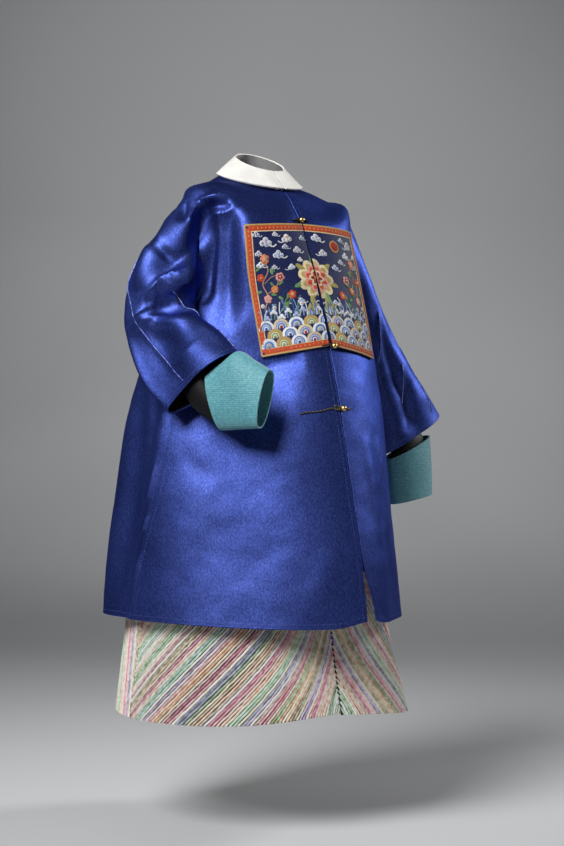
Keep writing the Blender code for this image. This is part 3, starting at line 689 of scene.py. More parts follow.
# %% Objects and walls
def make_object(name, mesh, *materials):
    """An object from a bmesh, or from lists of points in millimetres and faces."""
    data = bpy.data.meshes.new(name)
    if isinstance(mesh, bmesh.types.BMesh):
        mesh.to_mesh(data)
        mesh.free()
    else:
        points, faces = mesh
        data.from_pydata((np.array(points) * MM).tolist(), [], faces)
    for material in materials:
        data.materials.append(material)
    data.shade_smooth()
    piece = bpy.data.objects.new(name, data)
    scene.collection.objects.link(piece)
    return piece


def paint_points(piece, colours):
    """Keep a thread's colour on each point of a piece."""
    thread = piece.data.color_attributes.new("thread", "FLOAT_COLOR", "POINT")
    thread.data.foreach_set("color", np.array(colours).ravel())


def wall(piece, thickness, lined=True):
    """Give a sheet its thickness inwards, with the lining's material on the inside."""
    solid = piece.modifiers.new("solidify", "SOLIDIFY")
    solid.thickness, solid.offset, solid.use_even_offset = thickness * MM, -1, False
    solid.material_offset = 1 if lined else 0
    bpy.ops.object.select_all(action="DESELECT")
    bpy.context.view_layer.objects.active = piece
    piece.select_set(True)
    bpy.ops.object.modifier_apply(modifier=solid.name)
    piece.data.shade_smooth()
    piece.data.set_sharp_from_angle(angle=radians(50))
    return piece


print("a cloth's wall is", WALL, "mm with its lining")

# %% [markdown]
# Blue silk satin shows long floating threads that mirror the light in their own colour, so it is nearly
# black where it turns away from the lamp and almost periwinkle where it faces it. That is a metal's way to
# reflect, so the shader is mostly metallic, with a broad lobe, a tint that keeps grazing light blue and a
# thin coat for the paler bloom. Two noises do the rest: a fine one for the grain, stretched down the warp,
# and a broad one for the uneven pressing that makes the highlights patchy.

# %% Blue satin
GRAIN_PER_METRE = 1300  # coarser than the real threads, which would blur into one tone
# warp-faced silk satin: long warp floats over a fine weft, pressed on the wrong side
satin = new_material("woven_blue_silk_satin")
where = add(satin, "TexCoord").outputs["Object"]
along_warp = add(satin, "Mapping", {"Vector": where, "Scale": (1, 1, 0.55)})
grain = add(satin, "TexNoise", {"Vector": along_warp, "Scale": GRAIN_PER_METRE, "Detail": 2.0, "Roughness": 0.6})
cloud = add(satin, "TexNoise", {"Vector": where, "Scale": 22, "Detail": 1.0, "Roughness": 0.4})
blotch = add(satin, "Mix", {"Factor": 0.12, "A": grain, "B": cloud}, data_type="FLOAT")
blue = add(satin, "ValToRGB", {"Fac": blotch}, stops=((0.3, "#232f6c"), (0.5, "#31428b"), (0.7, "#4557a4")))
gloss = add(satin, "MapRange", {"Value": cloud, "From Min": 0.3, "From Max": 0.7, "To Min": 0.44, "To Max": 0.51})
fine = add(satin, "Bump", {"Height": grain, "Strength": 0.16, "Distance": 0.0004})
broad = add(satin, "Bump", {"Height": cloud, "Strength": 0.2, "Distance": 0.002, "Normal": fine})
add(satin, "Principled", {
    "Base Color": blue, "Roughness": gloss, "Normal": broad, "IOR": 1.5, "Metallic": 0.88, "Anisotropic": 0.3,
    "Coat Weight": 0.2, "Specular Tint": "#7d90d8", "Coat Roughness": 0.44})
print("satin:", len(satin.node_tree.nodes), "nodes")

# %% [markdown]
# The linings, the plain body of the robe, the under-sleeves and the badge's ground are plain-woven silks.
# They differ only in their colour, their lustre and how coarse the threads are, so one recipe serves them.

# %% Plain silks
def plain_silk(name, threads_per_metre, dark, light, roughness, detail=2.0, lustre=0.5):
    """A tabby weave: a noise as fine as the threads tints them and raises them a little."""
    silk = new_material(name)
    weave = add(silk, "TexNoise", {"Vector": add(silk, "TexCoord").outputs["Object"], "Scale": threads_per_metre,
                                   "Detail": detail})
    add(silk, "Principled", {
        "Base Color": add(silk, "ValToRGB", {"Fac": weave}, stops=((0.3, dark), (0.7, light))),
        "Roughness": roughness, "Specular IOR Level": lustre,
        "Normal": add(silk, "Bump", {"Height": weave, "Strength": 0.3, "Distance": 0.0003})})
    return silk


# a light tabby lining, near black and calendered
lining = plain_silk("plain_dark_silk_lining", 700, "#0c0d16", "#1a1c2c", 0.62, detail=1.0)
# a fine twill, piece-dyed navy
robe_plain = plain_silk("plain_navy_silk_twill", 650, "#14121b", "#221f2a", 0.7)
# a dense tabby with little shine, dyed black
black_silk = plain_silk("plain_black_silk", 800, "#050507", "#0d0d12", 0.6, lustre=0.25)
# the badge's ground: a close tabby, dyed navy and stretched on the embroiderer's frame
navy_silk = plain_silk("navy_silk_ground", 900, "#10163a", "#1e2858", 0.65, lustre=0.25)
print("plain silks:", [silk.name for silk in (lining, robe_plain, black_silk, navy_silk)])

# %% [markdown]
# Creases are given as short lines of points on the cloth. Each has a width and a depth, out (+)
# or in (-), and fades at its ends. Pressed creases are sharp ridges, hung folds are soft troughs, and no
# two have the same length or depth. A crease only moves cloth that faces the way the crease does, so a
# fold on the front of a sleeve leaves its back alone.

# %% Creases of the right half
CREASE_COLUMNS = ("width", "depth", "sharp", "points")
CREASES_RIGHT = (
    # the sleeve's broad forms: the full upper arm, the wall beside the chest, the bent elbow, the forearm
    (8.0, 5.0, False, ((-63, 6, -16), (-66, 2, -22), (-71, 2, -32), (-78, 3, -43), (-84, 3, -54),
                       (-88, 3, -66))),
    (5.8, -6.0, False, ((-52, -12, -16), (-54.5, -13, -27), (-55, -14.5, -38), (-55, -16.5, -48),
                        (-55, -17, -58), (-55, -15, -72))),
    (7.0, -6.0, False, ((-90, -6, -84), (-84, -10, -78), (-78, -15.5, -73.5), (-70, -18.5, -71),
                        (-60.5, -16, -68), (-50, -11, -66))),
    (9.0, -6.0, False, ((-88, -8, -82), (-88, -17, -89), (-86, -26, -97), (-84, -36, -105))),
    (8.0, -3.0, False, ((-95, -2, -84), (-93.5, -14, -97), (-91.5, -26, -107), (-89.5, -37, -116),
                        (-88, -46, -125))),
    (5.0, 2.0, False, ((-68, -28, -82), (-68, -36, -87), (-66, -44, -92.5), (-63, -56, -101))),
    # the pressed line down the outside of the sleeve
    (2.2, 1.0, True, ((-66, 16, -22), (-73, 15, -36), (-79.5, 13, -50), (-85, 14.5, -63), (-88, 10.5, -70.5))),
    (2.0, 0.9, True, ((-91.5, 1, -82.5), (-93, -9.5, -93), (-92.5, -18.5, -100.5), (-91, -27.5, -107.5),
                      (-89.5, -35.5, -114.5))),
    # the deep fold between the chest and the sleeve, with the scoop at its top
    (3.0, -4.4, False, ((-41, -24, -16), (-45, -21, -16.5), (-48.5, -17, -17), (-50, -13, -20),
                        (-51, -12.5, -26), (-52, -14, -34), (-52, -15.5, -43), (-50.5, -13.5, -53),
                        (-49.5, -12.5, -64.5), (-51, -12.5, -74))),
    (1.9, -2.4, False, ((-48, -16.5, -22), (-47.5, -16.5, -30), (-47, -16, -39.5), (-47.5, -15, -49.5),
                        (-48, -14.5, -60), (-49, -15, -69.5))),
    (2.6, 3.0, True, ((-51.5, -10.5, -14), (-55, -10, -17.5), (-58.5, -9.5, -23), (-60.5, -9.5, -29),
                      (-64, -8, -36))),
    (2.8, 3.0, True, ((-55, -10, -17.5), (-51.5, -10.5, -14), (-50.5, -14.5, -12.5), (-44.5, -20, -11.5),
                      (-36, -22, -10.5))),
    (2.0, 1.8, True, ((-49.5, -16, -21), (-46, -20, -21.5), (-42.5, -23.5, -20.5), (-38.5, -26.5, -17))),
    (2.8, -3.0, False, ((-58, -2, -13), (-61, -4.5, -20), (-62.5, -7.5, -27))),
    (3.0, -2.6, False, ((-66, 8, -27), (-70, 6, -34), (-74, 3, -40), (-74, -6, -46), (-70, -12, -50))),
    # the lip of the upper sleeve, the hollow under it at the elbow, and the thin folds in the hollow
    (3.6, 4.0, True, ((-89, 0, -75), (-86, -2, -70.5), (-82.5, -4.5, -66.5), (-79.5, -7.5, -62.5),
                      (-76.5, -11.5, -59.5), (-73, -15, -57.5), (-68, -18, -55.5), (-63, -18.5, -51))),
    (1.6, 1.5, True, ((-79, -9, -63.5), (-81.5, -6.5, -69), (-86, -6.5, -77))),
    (1.7, 2.4, True, ((-77.5, -11.5, -61.5), (-76.5, -16, -68.5), (-72, -19, -74.5), (-68.5, -23, -79),
                      (-65.5, -27, -82))),
    (2.4, 0.9, False, ((-91, -14, -89), (-88, -20, -88.5), (-84.5, -27, -90.5))),
    # the pressed side edge of the front, with the back set in behind it
    (13.0, -6.5, False, ((-73, 22, -112), (-77, 20, -146), (-81.5, 20, -180), (-85, 22, -215),
                         (-87, 26, -262))),
    (2.2, 2.4, True, ((-71, -5, -124), (-73, -4, -136.5), (-77.5, -2.5, -158.5), (-81, 0, -187), (-86, 1, -215),
                      (-89.5, 2.5, -238.5), (-91, 6, -262))),
    (4.0, -2.2, False, ((-72, 3, -118), (-75, 4, -136.5), (-79.5, 5.5, -158.5), (-83, 8, -187), (-85, 11, -213),
                        (-87.5, 14, -239), (-88.5, 18, -264))),
    (5.0, 1.3, False, ((-71, 20, -116), (-74.5, 14, -130), (-77, 12, -146))),
    (3.2, 1.2, False, ((-77, 14, -152), (-79.5, 8, -157))),
    # the chest and the skirt
    (4.5, -0.45, False, ((-74, -19, -160), (-68, -29.5, -169.5), (-62, -38, -176))),
    (5.5, -0.3, False, ((-70, -35, -202), (-62.5, -44.5, -203.5), (-50, -56, -197.5))),
    (6.5, 0.25, False, ((-76, -22, -192), (-69, -33, -187), (-62, -40, -184))),
    (7.0, 0.9, False, ((-14, -86, -214), (-24, -86, -234), (-32, -85, -252))),
    (7.0, -0.35, False, ((-60, -55, -237), (-49.5, -62.5, -219.5), (-33, -75, -209))),
    (6.0, -1.5, False, ((-36, -41, -116), (-27, -49, -109), (-15, -59.5, -107.5))),
    # the back
    (6.0, -1.8, False, ((-45, 42, -70), (-52, 52, -110), (-58, 58, -165))),
    (5.5, 1.6, False, ((-28, 44, -60), (-33, 56, -105), (-37, 66, -180))),
    (5.0, -1.4, False, ((-14, 42, -90), (-16, 58, -150), (-18, 70, -225))),
    (2.8, -1.8, False, ((-60, 22, -40), (-52, 34, -52), (-42, 41, -60))),
    (3.0, -1.6, False, ((-82, 22, -66), (-70, 22, -70), (-58, 26, -76))),
    (2.6, 1.3, True, ((-86, 20, -74), (-76, 14, -80), (-66, 12, -84))),
)
print("creases on the right half:", len(CREASES_RIGHT))

# %% [markdown]
# The left arm hangs a little away from the body, so its sleeve falls in long soft troughs and has no
# elbow folds. The left front keeps the long creases of its folding.

# %% Creases of the left half
CREASES_LEFT = (
    (2.6, 1.3, True, ((78, -16.5, -74), (78, -17, -91.5), (77, -17.5, -106))),
    (2.2, 1.2, True, ((95, -19, -106), (95.5, -19, -119), (95, -19.5, -131))),
    (4.0, -1.7, False, ((98.5, -19, -116), (98, -20, -133.5), (96, -21.5, -149))),
    (3.4, -1.6, False, ((60, -20, -30), (62, -22, -52), (64, -20, -76), (66, -16, -96))),
    (2.8, 1.4, False, ((54, -28, -28), (57, -27, -48), (60, -24, -70))),
    (3.6, -1.5, False, ((84, -16, -60), (90, -18, -86), (100, -20, -104))),
    (3.0, 1.2, True, ((104, -16, -92), (112, -18, -114), (120, -19, -136))),
    (5.5, 1.3, False, ((34, -68, -150), (36, -71, -187), (36, -77, -230))),
    (5.5, -1.3, False, ((50, -54, -130), (54, -56, -175), (56, -60, -225))),
    (5.0, 1.2, False, ((19, -73, -150), (20, -77.5, -176), (22, -84, -214))),
    (5.0, -1.2, False, ((66, -30, -120), (70, -30, -165), (72, -32, -220))),
    (6.0, -1.8, False, ((42, 42, -75), (50, 50, -115), (55, 56, -175))),
    (5.5, 1.6, False, ((26, 44, -62), (31, 55, -108), (35, 64, -190))),
    (5.0, -1.3, False, ((13, 44, -100), (15, 59, -155), (17, 70, -230))),
    (3.0, -1.6, False, ((64, 14, -44), (54, 30, -56), (42, 39, -64))),
    (3.0, 1.4, True, ((90, 8, -66), (92, 7, -92), (90, 4, -116))),
    (3.4, -1.5, False, ((100, 6, -88), (103, 3, -110), (102, 0, -134))),
)
CREASES = {"right": CREASES_RIGHT, "left": CREASES_LEFT}
print("creases on the left half:", len(CREASES_LEFT))

# %% [markdown]
# Everything that pushes the cloth does so by an amount that fades with the distance from a line, so each
# point's distance from the line is measured first. A lean moves a stretch of cloth straight back from the
# camera, so that its face tilts to the light while its outline stays.

# %% Leaning the cloth
KNOT_STEPS = 24  # points along the smooth line of a lean or a crease
LEANS_RIGHT = (
    # width, how far back, and the line: the forearm's lower edge
    (18.0, 10.5, ((-97, 4, -84), (-97, -6, -95), (-95.5, -20, -108), (-93.5, -33, -119), (-90, -46, -130))),
)


def nearest_on_line(points, line):
    """How far each point is from a line of knots, and how far along the line it is."""
    near = np.full(len(points), 1e9)
    place = np.zeros(len(points))
    for step in range(len(line) - 1):
        start, run = line[step], line[step + 1] - line[step]
        t = np.clip(((points - start) @ run) / (run @ run), 0, 1)
        gap = np.linalg.norm(points - start - t[:, None] * run, axis=1)
        closer = gap < near
        near[closer] = gap[closer]
        place[closer] = ((step + t) / (len(line) - 1))[closer]
    return near, place


def index_tree(points):
    """A search tree over some points."""
    tree = KDTree(len(points))
    for index, point in enumerate(points):
        tree.insert(point, index)
    tree.balance()
    return tree


def lean_cloth(mesh, leans):
    """Lean the cloth straight back near some lines, so that a face tilts and its outline stays."""
    points = np.array([vertex.co for vertex in mesh.verts]) / MM
    for width, depth, knots in leans:
        line = smooth(np.array(knots, float), np.linspace(0, len(knots) - 1, KNOT_STEPS))
        near, place = nearest_on_line(points, line)
        back = depth * np.exp(-(near / width) ** 2) * np.sin(pi * np.clip(place, 0, 1)) ** 0.5
        for vertex, amount in zip(mesh.verts, back):
            vertex.co += away * float(amount * MM)


print("the right sleeve leans back in", len(LEANS_RIGHT), "place")

# %% [markdown]
# A crease pushes each point along the cloth's own outward direction: a soft one is a bell across its line,
# and a sharp one has a narrow ridge. A slow noise keeps the rest from being too true. A cloth simulation
# could make such folds too, but it wouldn't put them where this robe has them.

# %% Creasing the cloth
RIDGE_FALL = 2.2  # how fast a sharp crease falls off beside its ridge
UNEVEN_DEPTH = 0.32  # how far the cloth wanders out of true
UNEVEN_SIZE = 19.0  # from one soft swelling to the next
UNEVEN_START = {"right": 3.0, "left": 11.0}  # the halves wander differently
FINE_SHARE, FINE_STEPS = 0.5, 2.3  # a finer swelling on top of it: how deep and how close, beside the first
FACING_AWAY, FACING_ALONG = -0.15, 0.45  # a crease leaves cloth alone that turns away from it
CREASE_ENDS = 0.7  # how bluntly a crease ends


def crease_cloth(mesh, creases, uneven_start):
    """Push the cloth out or in along each crease, and make it slightly uneven everywhere."""
    mesh.normal_update()
    points = np.array([vertex.co for vertex in mesh.verts]) / MM
    normals = np.array([vertex.normal for vertex in mesh.verts])
    tree = index_tree(points)
    moved = np.zeros(len(points))
    for crease in creases:
        crease = dict(zip(CREASE_COLUMNS, crease))
        knots = np.array(crease["points"], float)
        line = smooth(knots, np.linspace(0, len(knots) - 1, KNOT_STEPS))
        facing = normals[tree.find(line[len(line) // 2])[1]]
        near, place = nearest_on_line(points, line)
        share = near / crease["width"]
        ridge = 1 / (1 + RIDGE_FALL * share ** 2) * np.exp(-(share / RIDGE_FALL) ** 2)
        shape = ridge if crease["sharp"] else np.exp(-share ** 2)
        ends = np.sin(pi * np.clip(place, 0, 1)) ** CREASE_ENDS
        moved += crease["depth"] * shape * ends * ease(FACING_AWAY, FACING_ALONG, normals @ facing)
    for index, point in enumerate(points):
        where = Vector(point) / UNEVEN_SIZE + Vector((uneven_start, 0, 0))
        moved[index] += UNEVEN_DEPTH * (noise.noise(where) + FINE_SHARE * noise.noise(where * FINE_STEPS))
    for vertex, normal, depth in zip(mesh.verts, normals, moved):
        vertex.co += Vector(normal * depth * MM)


print("deepest crease:", max(abs(row[1]) for row in CREASES_RIGHT + CREASES_LEFT), "mm")

# %% [markdown]
# Cloth can't bend as sharply as two sheets that meet: the turn out of the body and the inside of the
# elbow are eased by averaging neighbours, as a pressing pad would. Where the sleeves were folded flat they
# keep a pressed line. Its path is charted on the smooth cloth, is carried along when the creases move the
# cloth, and is laid on the creased surface.

# %% Easing the bends and carrying the pressed lines
TURN_REACH, TURN_ROUNDS = 7.0, 14
INNER_ELBOW, ELBOW_REACH, ELBOW_ROUNDS = (-71.5, -15.0, -71.5), 9.0, 8  # keeps the lining inside the bend
LINE_LIFT, LINE_SEAT = 0.16, 0.75  # how far a pressed line stands off the cloth, and its path's share of that
LINE_STEPS = 14  # points along a pressed line for each of its knots
TOUCHING = 0.05  # keeps the weight of a corner right under a point from being endless
PRESSED_LINES = {
    "right": (
        ((-66, 16, -22), (-73, 15, -36), (-79.5, 13, -50), (-85, 14.5, -63), (-88, 10.5, -70.5),
         (-91.5, 1, -82.5), (-93, -9.5, -93), (-92.5, -18.5, -100.5), (-91, -27.5, -107.5),
         (-89.5, -35.5, -114.5), (-88.5, -41, -118.5)),
        ((-76.5, -16, -68.5), (-72, -19, -74.5), (-68.5, -23, -79), (-65.5, -28, -82.5), (-65, -36, -87),
         (-64, -46, -93), (-62.5, -56, -100)),
    ),
    "left": (
        ((78, -16.5, -74), (78, -17, -91.5), (77, -17.5, -106)),
        ((95, -19, -106), (95.5, -19, -119), (95, -19.5, -131)),
        ((104, -16, -92), (112, -18, -114), (120, -19, -136)),
    ),
}


def ease_bend(mesh, bend, reach, rounds):
    """Average the cloth with its neighbours near some points."""
    tree = index_tree(np.asarray(bend) * MM)
    near = [v for v in mesh.verts if not v.is_boundary and tree.find(v.co)[2] < reach * MM]
    for _ in range(rounds):
        bmesh.ops.smooth_vert(mesh, verts=near, factor=0.5, use_axis_x=True, use_axis_y=True, use_axis_z=True)
    return len(near)


def carry_lines(lines, before, mesh, spots):
    """Take lines that lay on the cloth before it was creased to where they lie now."""
    mesh.normal_update()
    creased = BVHTree.FromBMesh(mesh)
    carried = []
    for line in lines:
        line = smooth(np.array(line, float), np.linspace(0, len(line) - 1, LINE_STEPS * len(line)))
        path = []
        for point in line:
            foot, normal, index, _ = before.find_nearest(Vector(point * MM))
            corners = mesh.faces[index].verts
            weights = np.array([1 / ((spots[v.index] - foot).length + TOUCHING * MM) for v in corners])
            moved = sum(((v.co - spots[v.index]) * w for v, w in zip(corners, weights / weights.sum())), Vector())
            path.append(np.array(foot + moved) / MM + np.array(normal) * LINE_SEAT * LINE_LIFT)
        path = np.array(path)
        for _ in range(3):
            path[1:-1] = (path[:-2] + 2 * path[1:-1] + path[2:]) / 4
        for place, point in enumerate(path):
            foot, normal, _, _ = creased.find_nearest(Vector(point * MM))
            path[place] = np.array(foot) / MM + np.array(normal) * LINE_LIFT
        path[1:-1] = (path[:-2] + 2 * path[1:-1] + path[2:]) / 4
        carried.append(path)
    return carried


print("pressed lines:", {side: len(lines) for side, lines in PRESSED_LINES.items()})

# %% [markdown]
# Each half of the surcoat is one cloth: front, back and sleeve. The three sheets are sewn along the
# armhole's own points, because a sleeve cut in one with the body has no seam there. Then the cloth is
# creased, and its thickness and lining are added last.

# %% The surcoat
COAT_COLUMNS = (60, 46)  # quads across the front and the back
ARMHOLE_ROWS = 48
SLEEVE_LOOPS = {"right": 96, "left": 100}
ARMPIT = {"right": (30.0, 3), "left": (0.0, 0)}
coat_rows = row_list(18, ARMHOLE_ROWS, 96)
pressed_paths = {}
surcoat, surcoat_trees, surcoat_edges = {}, {}, {}
for side in ("right", "left"):
    is_right = side == "right"
    body = (COAT[side], COAT_FOLDS, COAT_ARMHOLE, COAT_SIDE_SEAM)
    arm = sleeve_sheet(side, body, COAT_SLEEVE[side], SLEEVE_FOLDS[side], ARMPIT[side], 2 * ARMHOLE_ROWS,
                       SLEEVE_LOOPS[side])
    mesh = bmesh.new()
    for part in (sew(coat_sheets(side, coat_rows, COAT_COLUMNS), not is_right), sew([arm], is_right)):
        holder = bpy.data.meshes.new("part")
        part.to_mesh(holder)
        part.free()
        mesh.from_mesh(holder)
        bpy.data.meshes.remove(holder)
    before = len(mesh.verts)
    bmesh.ops.remove_doubles(mesh, verts=mesh.verts, dist=SEWN * MM)
    turned = ease_bend(mesh, arm[0], TURN_REACH, TURN_ROUNDS)
    mesh.faces.ensure_lookup_table()
    mesh.verts.index_update()
    spots = [vertex.co.copy() for vertex in mesh.verts]
    flat_tree = BVHTree.FromBMesh(mesh)
    crease_cloth(mesh, CREASES[side], UNEVEN_START[side])
    if is_right:
        lean_cloth(mesh, LEANS_RIGHT)
        ease_bend(mesh, [INNER_ELBOW], ELBOW_REACH, ELBOW_ROUNDS)
    pressed_paths[side] = carry_lines(PRESSED_LINES[side], flat_tree, mesh, spots)
    surcoat_edges[side] = edge_loops(mesh)
    surcoat_trees[side] = BVHTree.FromBMesh(mesh)
    print(side, "half: sewn points", before - len(mesh.verts), "relaxed", turned)
    surcoat[side] = make_object(f"surcoat_{side}", mesh, satin, lining)
    wall(surcoat[side], WALL)
    print(side, "half triangles:", sum(len(p.vertices) - 2 for p in surcoat[side].data.polygons))
    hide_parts(f"coat_{side}", f"coat_sleeve_{side}")

# %% [markdown]
# The hem of a dragon robe ends in slanting stripes of standing water. On this one they are twisted silk
# cords laid side by side and caught down, one or two of a colour at a time. The cords are real half-round
# ridges laid on the robe's wall, because their shadows are what the eye reads. They stand steep at the
# centre front and at the side seam, and lean over further round each panel.

# %% The robe's wall
ROBE_BAND_HEIGHT = 84.0  # the striped band, measured up from the hem
# The hidden upper robe is drawn in, clear of the surcoat's deep folds: at the neck and below the arms.
ROBE_SLACK = (2.6, 7.5)
SLACK_GROWS, SLACK_ENDS = (3.0, 5.0), (7.2, 8.3)  # the rows over which it changes
ROBE_HALF_GAP = 0.5  # the robe's fronts nearly touch


def robe_point(side, part, share, row):
    """Points on the robe's front or back panel, by the share of the way round it and the section row."""
    sections = ROBE[side]
    share, row = np.broadcast_arrays(np.asarray(share, float), np.asarray(row, float))
    slack = ROBE_SLACK[0] + (ROBE_SLACK[1] - ROBE_SLACK[0]) * ease(*SLACK_GROWS, row)
    slack = -slack * (1 - ease(*SLACK_ENDS, row))
    table = smooth(sections, row)
    seam = smooth(ROBE_SIDE_SEAM, row)
    beside_arm = (row > SHOULDER_ROW) & (row < UNDERARM_ROW)
    if part == "front":
        start = np.degrees(ROBE_HALF_GAP / table[..., 3])
        edge = seam - np.where(beside_arm, armhole_reach(row, ROBE_ARMHOLE[0]), 0)
        degrees = start + (edge - start) * share
        return hem_lift(body_point(sections, ROBE_FOLDS, side, degrees, row, slack), degrees, row, ROBE_HEM_LIFT)
    edge = seam + np.where(beside_arm, armhole_reach(row, ROBE_ARMHOLE[1]), 0)
    return body_point(sections, ROBE_FOLDS, side, edge + (180 - edge) * share, row, slack)


SHARE_STEP, ROW_STEP = 0.004, 0.01  # how far away the slope of the panel is felt


def facing_out(side, part, share, row):
    """The outward direction of the robe's panel."""
    here = robe_point(side, part, share, row)
    along = robe_point(side, part, share + SHARE_STEP, row) - here
    down = robe_point(side, part, share, row + ROW_STEP) - here
    outward = unit(np.cross(down, along))
    return outward * np.sign((outward * (here * (1, 1, 0))).sum(-1))[..., None]


robe_rows = row_list(8, 16, 40)
robe = {}
for side in ("right", "left"):
    grids = [robe_point(side, part, np.linspace(0, 1, columns + 1)[None, :], robe_rows[:, None])
             for part, columns in (("front", 34), ("back", 28))]
    cloth = make_object(f"robe_{side}_silk", sew(grids, side == "left"), robe_plain)
    robe[side] = wall(cloth, WALL, lined=False)
    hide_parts(f"robe_{side}")
    print("robe,", side, "half:", len(robe[side].data.vertices), "points")

# %% [markdown]
# The dyer's list for the cords is charted one word for each cord. Each cord stores its colour on
# its own points, and its own map runs along the cord, so that one material serves them all: the colour
# comes from the cord, and the slanting grooves of the twist from the map.

# %% The dyes and their order
DYES = {
    "cream": "#e8dcc2", "white": "#eeebe4", "blush": "#e9c3bd", "pink": "#dd93a0", "raspberry": "#c04a72",
    "mint": "#a5cfae", "leaf": "#86b07c", "peach": "#e3b48d", "orange": "#d79257", "lavender": "#b3a7cb",
    "purple": "#85609f", "slate": "#8d97b3", "navy": "#43477a", "olive": "#9b9566", "tan": "#c1a984",
    "teal": "#86b8ae",
}
STRIPE_BANDS = (
    "blush cream mint white mint leaf cream blush peach cream blush raspberry pink cream purple lavender "
    "cream olive tan peach cream orange leaf olive cream raspberry pink blush white lavender slate cream "
    "mint mint cream peach blush pink raspberry white cream peach tan cream leaf slate navy cream pink "
    "raspberry blush cream orange peach pink white purple cream mint teal cream blush raspberry cream tan "
    "olive white pink blush cream mint leaf cream"
).split()
BLEACHED = 0.2  # how far the dyes have faded towards white
SHADE, SHADE_SPREAD = 1.16, 0.16  # each hank took the dye a little differently
print("dyes:", len(DYES), "in an order of", len(STRIPE_BANDS))

# %% [markdown]
# A cord is straight on the cloth but slants across it, so its path is found step by step: up from the hem
# and over by the slope at that place. Cords that stand steeply need less room side by side along the hem.

# %% Paths of the cords
CORD_WIDTH = 1.26
CORD_STEP = 1.68  # the dark ground shows between the cords
HEM_ROW_HEIGHT = 52.0  # one section row near the hem, in millimetres down the cloth
# How steeply the cords stand: in degrees at the panel's steep edge, further in, and how far in that is.
# The front panel is steep at the centre front, the back panel at the side seam.
PANEL_ANGLES = {"front": (64.0, 47.0, 62.0), "back": (84.0, 52.0, 70.0)}
BACK_START = 31  # where in the order of colours the back panel begins
HALF_ROUND = (-100, -52, 0, 52, 100)  # the points across a cord, in degrees from its crest
RING_STEP = 1.9  # along a cord
CORD_BED = 0.16  # how far a cord's middle stands off the wall
CORD_SWAY, CORD_UNEVEN = 0.10, 0.09  # how far cords lie out of true, and vary in thickness
PATH_STEP = 0.5
FIRST_CORD = 0.4  # from the panel's edge
LAST_SHARE, LAST_ROW = 0.995, HEM_ROW - 0.02  # the slope is felt no further out than this
TWIST_LENGTH = 1.9  # one turn of a strand along the cord


def rise_cot(out, length, part):
    """How far a cord leans out for each millimetre that it falls."""
    steep, even, even_from = PANEL_ANGLES[part]
    distance = out if part == "front" else length - out
    angle = steep + (even - steep) * ease(0, even_from, distance)
    return 1 / np.tan(np.radians(angle))


def cord_paths(length, height, part):
    """Paths of the cords over a panel of that length, as (distance out, height above the hem)."""
    reach = length + height * rise_cot(length, length, part)
    starts, out = [], FIRST_CORD
    while out < reach:
        starts.append(out)
        out += CORD_STEP / np.sin(np.arctan2(1, rise_cot(out, length, part)))
    paths = []
    for start in starts:
        out, up, path = start, 0.0, []
        while up <= height and out > 0:
            path.append((out, up))
            out -= PATH_STEP * rise_cot(out, length, part)
            up += PATH_STEP
        path = np.array([p for p in path if p[0] <= length])
        if len(path) > 4:
            steps = max(2, int(len(path) * PATH_STEP / RING_STEP))
            paths.append(path[np.linspace(0, len(path) - 1, steps).round().astype(int)])
        else:
            paths.append(None)  # too short to sew, but it keeps its place in the order of colours
    return paths


ROBE_HEM_ARC = {}
for side in ("right", "left"):
    lines = [robe_point(side, part, np.linspace(0, 1, 200), HEM_ROW - 0.4) for part in ("front", "back")]
    ROBE_HEM_ARC[side] = [float(np.linalg.norm(np.diff(line, axis=0), axis=1).sum()) for line in lines]
print("hem of the robe, front and back panels:", ROBE_HEM_ARC)

# %% [markdown]
# A cord is five points across, bent to a half-round ridge, and repeated along its path. Each one differs
# a little in thickness, shade and place, as hand-laid cords do.

# %% Laying the cords
def stripe_cords(name, side, material, shift):
    """All the cords on one half of the robe, as one mesh with a colour and a map on each cord."""
    verts, faces, colours, maps = [], [], [], []
    around = np.radians(HALF_ROUND)
    for part, length in (("front", ROBE_HEM_ARC[side][0]), ("back", ROBE_HEM_ARC[side][1])):
        for number, path in enumerate(cord_paths(length, ROBE_BAND_HEIGHT, part)):
            if path is None:
                continue
            place = number if part == "front" else number + BACK_START
            dye = linear(DYES[STRIPE_BANDS[(place + shift) % len(STRIPE_BANDS)]])
            share = path[:, 0] / length
            row = HEM_ROW - path[:, 1] / HEM_ROW_HEIGHT
            if part == "back":
                share = 1 - share
            spot = robe_point(side, part, share, row)
            outward = facing_out(side, part, np.clip(share, 0, LAST_SHARE), np.minimum(row, LAST_ROW))
            aside = np.cross(outward, unit(np.gradient(spot, axis=0)))
            radius = CORD_WIDTH / 2 * (1 + CORD_UNEVEN * rng.standard_normal())
            ring = (np.sin(around)[None, :, None] * aside[:, None]
                    + np.cos(around)[None, :, None] * outward[:, None])
            sway = CORD_SWAY * rng.standard_normal((len(spot), 1, 1))
            points = spot[:, None] + (ring * radius) + outward[:, None] * CORD_BED + aside[:, None] * sway
            first, width = len(verts), len(around)
            verts.extend(points.reshape(-1, 3))
            run = run_length(spot) / TWIST_LENGTH
            shade = SHADE + SHADE_SPREAD * rng.standard_normal()
            for step in range(len(spot)):
                for turn in range(width):
                    maps.append((run[step], turn / (width - 1)))
                    colours.append([min(1.0, (c * (1 - BLEACHED) + BLEACHED) * shade) for c in dye[:3]] + [1.0])
            for step in range(len(spot) - 1):
                for turn in range(width - 1):
                    a = first + step * width + turn
                    faces.append((a, a + 1, a + width + 1, a + width))
    piece = make_object(name, (verts, faces), material)
    paint_points(piece, colours)
    layer = piece.data.uv_layers.new(name="twist")
    corner = np.zeros(len(piece.data.loops), int)
    piece.data.loops.foreach_get("vertex_index", corner)
    layer.data.foreach_set("uv", np.array(maps)[corner].ravel())
    return piece


